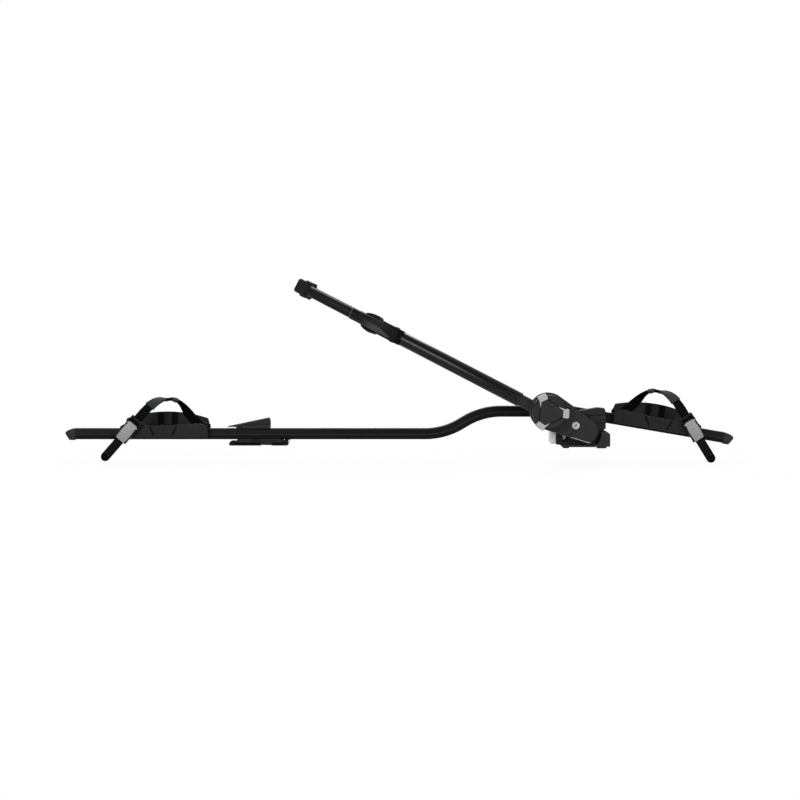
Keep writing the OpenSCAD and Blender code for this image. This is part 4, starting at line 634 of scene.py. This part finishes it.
mouth_highlight_grey = finish("painted_mouth_highlight", (0.16, 0.16, 0.165), 0.4, 0.3)


def on_arc(angles, section):
    """A section of (outward, up) at each angle of the jaw's arc, in the tube's frame."""
    a = np.radians(angles)[:, None]
    reach = JAW_R + section[..., 0]
    return np.stack([JAW_MID[0] + reach * np.cos(a), JAW_MID[1] + reach * np.sin(a), section[..., 1]], -1)


def past_tip(slab):
    """Angles on the jaw's arc for a slab's heights, counted from the ears' root towards the tip's end."""
    return EAR_A - np.degrees(slab[:, 0, 2] / JAW_R)


k = np.linspace(0, 1, 56)
grown = ramp(k, *GROW_SPAN)
crease = CREASE_FROM + CREASE_CLIMB * ramp(k, *CREASE_SPAN)
root = np.stack([rounded_loop([(-7, -9.5), (-3.5, -12.7), (-0.5, -12.7), (8.0, c), (5.5, 12.2), (-2.0, 12.7),
    (-7, 9.5)], CREASE_ROUND + GROWN_ROUND * g, ROOT_STEPS) for c, g in zip(crease, grown)])
spoke = np.arctan2(root[..., 1], root[..., 0])
barrel = np.stack([BARREL_ACROSS * np.cos(spoke), BARREL_UP * np.sin(spoke)], -1)
sleeve = root + (barrel - root) * grown[:, None, None]
sleeve = np.concatenate([sleeve[:1] * 0.82, sleeve, sleeve[-1:] * 0.985, sleeve[-1:] * 0.93])
# The lower facet of each creased root takes the jaw's lighter colour, fading out as the root grows round:
# painted light reflected up from the white floor.
lower_facet_mask = np.zeros(root.shape[1])
lower_facet_mask[LOWER_FACET] = 1
lower_facet_light = lower_facet_mask * ((1 - grown) * ramp(k, *FACET_LIGHT_SPAN))[:, None]
lower_facet_light = np.concatenate([lower_facet_light[:1], lower_facet_light, lower_facet_light[-1:], lower_facet_light[-1:]])
sleeve_a = np.concatenate([[ROOT_A + 0.25], ROOT_A + (MOUTH_A + 0.12 - ROOT_A) * k,
    [MOUTH_A + 0.04, MOUTH_A]])
spin = np.linspace(0, 2 * math.pi, 40, endpoint=False)
circle = np.column_stack([np.cos(spin), np.sin(spin)])
bar_a = np.linspace(MOUTH_A + 0.6, TIP_A - 0.6, 44)
bar = np.broadcast_to(BAR_R * circle, (len(bar_a), *circle.shape))
# A thin lip ring where each bar leaves its sleeve, coloured light grey: a painted highlight on the rim of the
# sleeve's mouth.
mouth_a = MOUTH_A + np.array([0.12, 0.05, -0.05, -0.12])
mouth_highlight = np.array([BAR_R, MOUTH_R, MOUTH_R, BAR_R])[:, None, None] * circle
tip_shape = carried(oblong((-12, -15.5), (12, 15.5), 6.0, 7), *with_middle(
    filleted(0, TIP_L, TIP_ROUND, END_ROUND, 7),
    np.linspace(TIP_ROUND, TIP_L - END_ROUND, 16)[1:-1], np.zeros(14)))
tip_a = TIP_A - np.degrees(tip_shape[:, 0, 2] / JAW_R)
ears = carried(oblong((-7.5, -18.4), (7.5, 18.4), 2.0, 4), *filleted(0, 9.5, 1.5, 1.5, 5))
# A near-black sheet near the root of each rubber tip: painted shade in the recess there.
recess_shade = prism(oblong((7.3, -17), (7.6, -11.8), 0.05, 2), 2.4, 7.2)
cheek = prism(oblong((349.4, -13.6), (359.4, 13.6), 1.0, 3), 16.0, 17.5)[..., [0, 2, 1]]
for side, flip in (("near", (1, 1, 1)), ("far", (1, -1, 1))):
    jaw, tip = [side + "_jaw"], [side + "_jaw_tip"]
    for name, angles, section, material, nodes, hides, tone in (
            ("sleeve", sleeve_a, sleeve, jaw_black, jaw, True, lower_facet_light),
            ("bar", bar_a, bar, bar_black, jaw, False, None),
            ("mouth_highlight", mouth_a, mouth_highlight, mouth_highlight_grey, jaw, False, None),
            ("tip", tip_a, tip_shape, tip_rubber, tip, True, None),
            ("ears", past_tip(ears), ears, tip_rubber, tip, False, None),
            ("recess_shade", past_tip(recess_shade), recess_shade, dark_parts_and_shade, tip, False, None)):
        shape = placed(on_arc(angles, section) * flip, TUBE, TUBE_AT)
        skin(side + "_" + name, shape, material, nodes, hides, JAW_SHARP, tone)
    skin(side + "_cheek", placed(cheek * flip, TUBE, TUBE_AT), dark_parts_and_shade, ["claw_head"], hides=False)
softened("claw_head", jaw_black, FORK_ROUND)

# Crotch pad: a rubber block on the fork's nose, swelling above and below the jaws, with a hollow
# face that the bike's frame tube rests in.
REST_HALF, REST_ROUND, REST_CORNER = 25, 2.5, 3.0
REST_HOLLOW, HOLLOW_BACK, HOLLOW_REACH = 7.5, 422, 17
rest_rubber = finish("rest_rubber", (0.006, 0.0062, 0.0064), 0.65, 0.06, 600, 0.05)
rest_loop = rounded_loop([(404.5, -15), (408, -19.6), (418, -20.6), (430, -18.8), (439.5, -15.5),
    (439.5, 15.5), (430, 18.8), (418, 20.6), (408, 19.6), (404.5, 15)], REST_CORNER, 5)
rest = carried(rest_loop, *with_middle(filleted(-REST_HALF, REST_HALF, REST_ROUND, REST_ROUND, 6),
    np.linspace(-22, 22, 24)[1:-1], np.zeros(22)))
bowl = 1 - (rest[..., 2] / REST_HALF) ** 2
rest[..., 0] -= REST_HOLLOW * bowl * np.clip((rest[..., 0] - HOLLOW_BACK) / HOLLOW_REACH, 0, 1)
skin("frame_rest", placed(rest[..., [0, 2, 1]], TUBE, TUBE_AT), rest_rubber, ["crotch_pad"], sharp=50)

# Metal parts: pins, gears and springs of zinc plated steel, turned or stamped, mostly out of
# sight inside the housing, the tube and the feet; the clamp bolts and jaw pins are blackened.
zinc = finish("zinc_steel", (0.55, 0.55, 0.57), 0.32, 0.5, 900, 0.01, metal=1.0)
blackened = finish("blackened_steel", (0.02, 0.02, 0.021), 0.4, 0.25, 900, 0.01)
for node, solid in frame["nodes"].items():
    solid.data.materials.clear()
    solid.data.materials.append(blackened if "clamp_bolt" in node or node == "jaw_pins" else zinc)

# Studio: a white sweep under soft light, seen at the photograph's height and distance. Mirrors
# see a room that is dimmer on the camera's side, so that black surfaces stay black.
AMBIENT = (0.32, 0.32, 0.325, 1)
ROOM_FROM, ROOM_TO, ROOM_DIM = -0.75, 0.1, 0.3
FLOOR_Z, FLOOR_HALF, FLOOR_MID = cad_box[0][2] - 0.0005, 30, (-0.4, 0)
SHADE_R, CLEAR_R, SHADE_GLOW = 0.75, 1.3, 0.95
CAMERA_AT, CAMERA_AIM, LENS, SENSOR = (-0.3953, -4.294, 0.322), (-0.3953, 0, 0.097), 89.5, 36.0
scene = bpy.context.scene
scene.view_settings.view_transform = "Standard"


def white_seen(tree):
    """1 where the eye, a mirror or glass looks, 0 where light falls."""
    path = tree.nodes.new("ShaderNodeLightPath")
    first, second = tree.nodes.new("ShaderNodeMath"), tree.nodes.new("ShaderNodeMath")
    first.operation = second.operation = "MAXIMUM"
    tree.links.new(path.outputs["Is Camera Ray"], first.inputs[0])
    tree.links.new(path.outputs["Is Glossy Ray"], first.inputs[1])
    tree.links.new(first.outputs[0], second.inputs[0])
    tree.links.new(path.outputs["Is Transmission Ray"], second.inputs[1])
    return second.outputs[0]


world = bpy.data.worlds.new("studio")
scene.world = world
world.use_nodes = True
tree = world.node_tree
seen, ambient = tree.nodes.new("ShaderNodeBackground"), tree.nodes["Background"]
seen.inputs["Color"].default_value = (1, 1, 1, 1)
ambient.inputs["Color"].default_value = AMBIENT
path, toward, split, room, bright = (tree.nodes.new("ShaderNode" + kind)
    for kind in ("LightPath", "TexCoord", "SeparateXYZ", "MapRange", "Math"))
room.inputs["From Min"].default_value, room.inputs["From Max"].default_value = ROOM_FROM, ROOM_TO
room.inputs["To Min"].default_value, room.inputs["To Max"].default_value = ROOM_DIM, 1.0
bright.operation = "MAXIMUM"
choose = tree.nodes.new("ShaderNodeMixShader")
for source, target in ((toward.outputs["Generated"], split.inputs[0]),
        (split.outputs["Y"], room.inputs["Value"]), (room.outputs["Result"], bright.inputs[0]),
        (path.outputs["Is Camera Ray"], bright.inputs[1]), (bright.outputs[0], seen.inputs["Strength"]),
        (white_seen(tree), choose.inputs["Fac"]), (ambient.outputs[0], choose.inputs[1]),
        (seen.outputs[0], choose.inputs[2]),
        (choose.outputs[0], tree.nodes["World Output"].inputs["Surface"])):
    tree.links.new(source, target)

floor_mesh = bpy.data.meshes.new("floor")
floor_corners = [(i * FLOOR_HALF, j * FLOOR_HALF, FLOOR_Z) for i, j in ((-1, -1), (1, -1), (1, 1), (-1, 1))]
floor_mesh.from_pydata(floor_corners, [], [(0, 1, 2, 3)])
floor = bpy.data.objects.new("floor", floor_mesh)
scene.collection.objects.link(floor)
paper = bpy.data.materials.new("white_paper")
paper.use_nodes = True
tree = paper.node_tree
plain = tree.nodes["Principled BSDF"]
plain.inputs["Base Color"].default_value = (0.9, 0.9, 0.9, 1)
plain.inputs["Roughness"].default_value = 0.9
plain.inputs["Specular IOR Level"].default_value = 0.0
glow, where, away, near, share, mix = (tree.nodes.new("ShaderNode" + kind)
    for kind in ("Emission", "TexCoord", "VectorMath", "MapRange", "Math", "MixShader"))
away.operation = "DISTANCE"
away.inputs[1].default_value = (*FLOOR_MID, FLOOR_Z)
near.inputs["From Min"].default_value, near.inputs["From Max"].default_value = SHADE_R, CLEAR_R
near.inputs["To Min"].default_value, near.inputs["To Max"].default_value = SHADE_GLOW, 1.0
share.operation = "MULTIPLY"
for source, target in ((where.outputs["Object"], away.inputs[0]),
        (away.outputs["Value"], near.inputs["Value"]), (white_seen(tree), share.inputs[0]),
        (near.outputs["Result"], share.inputs[1]), (share.outputs[0], mix.inputs["Fac"]),
        (plain.outputs[0], mix.inputs[1]),
        (glow.outputs[0], mix.inputs[2]), (mix.outputs[0], tree.nodes["Material Output"].inputs["Surface"])):
    tree.links.new(source, target)
floor.data.materials.append(paper)


def aimed(name, data, place, aim):
    """A lamp or camera stood at a place and turned to face its aim."""
    stand = bpy.data.objects.new(name, data)
    stand.location = place
    stand.rotation_mode = "QUATERNION"
    stand.rotation_quaternion = (Vector(aim) - Vector(place)).to_track_quat("-Z", "Y")
    scene.collection.objects.link(stand)
    return stand


for name, place, aim, size, power in (("key_box", (-1.7, -3.2, 1.2), (-0.4, 0, 0.1), 1.8, 70),
        ("fill_box", (1.4, -3.2, 1.0), (-0.2, 0, 0.1), 1.8, 50),
        ("back_box", (-0.4, 2.4, 3.0), (-0.4, 0, 0), 2.0, 100)):
    lamp = bpy.data.lights.new(name, "AREA")
    lamp.size, lamp.energy = size, power
    aimed(name, lamp, place, aim)
scene.camera = aimed("camera", bpy.data.cameras.new("camera"), CAMERA_AT, CAMERA_AIM)
scene.camera.data.lens, scene.camera.data.sensor_width = LENS, SENSOR

bpy.context.view_layer.update()
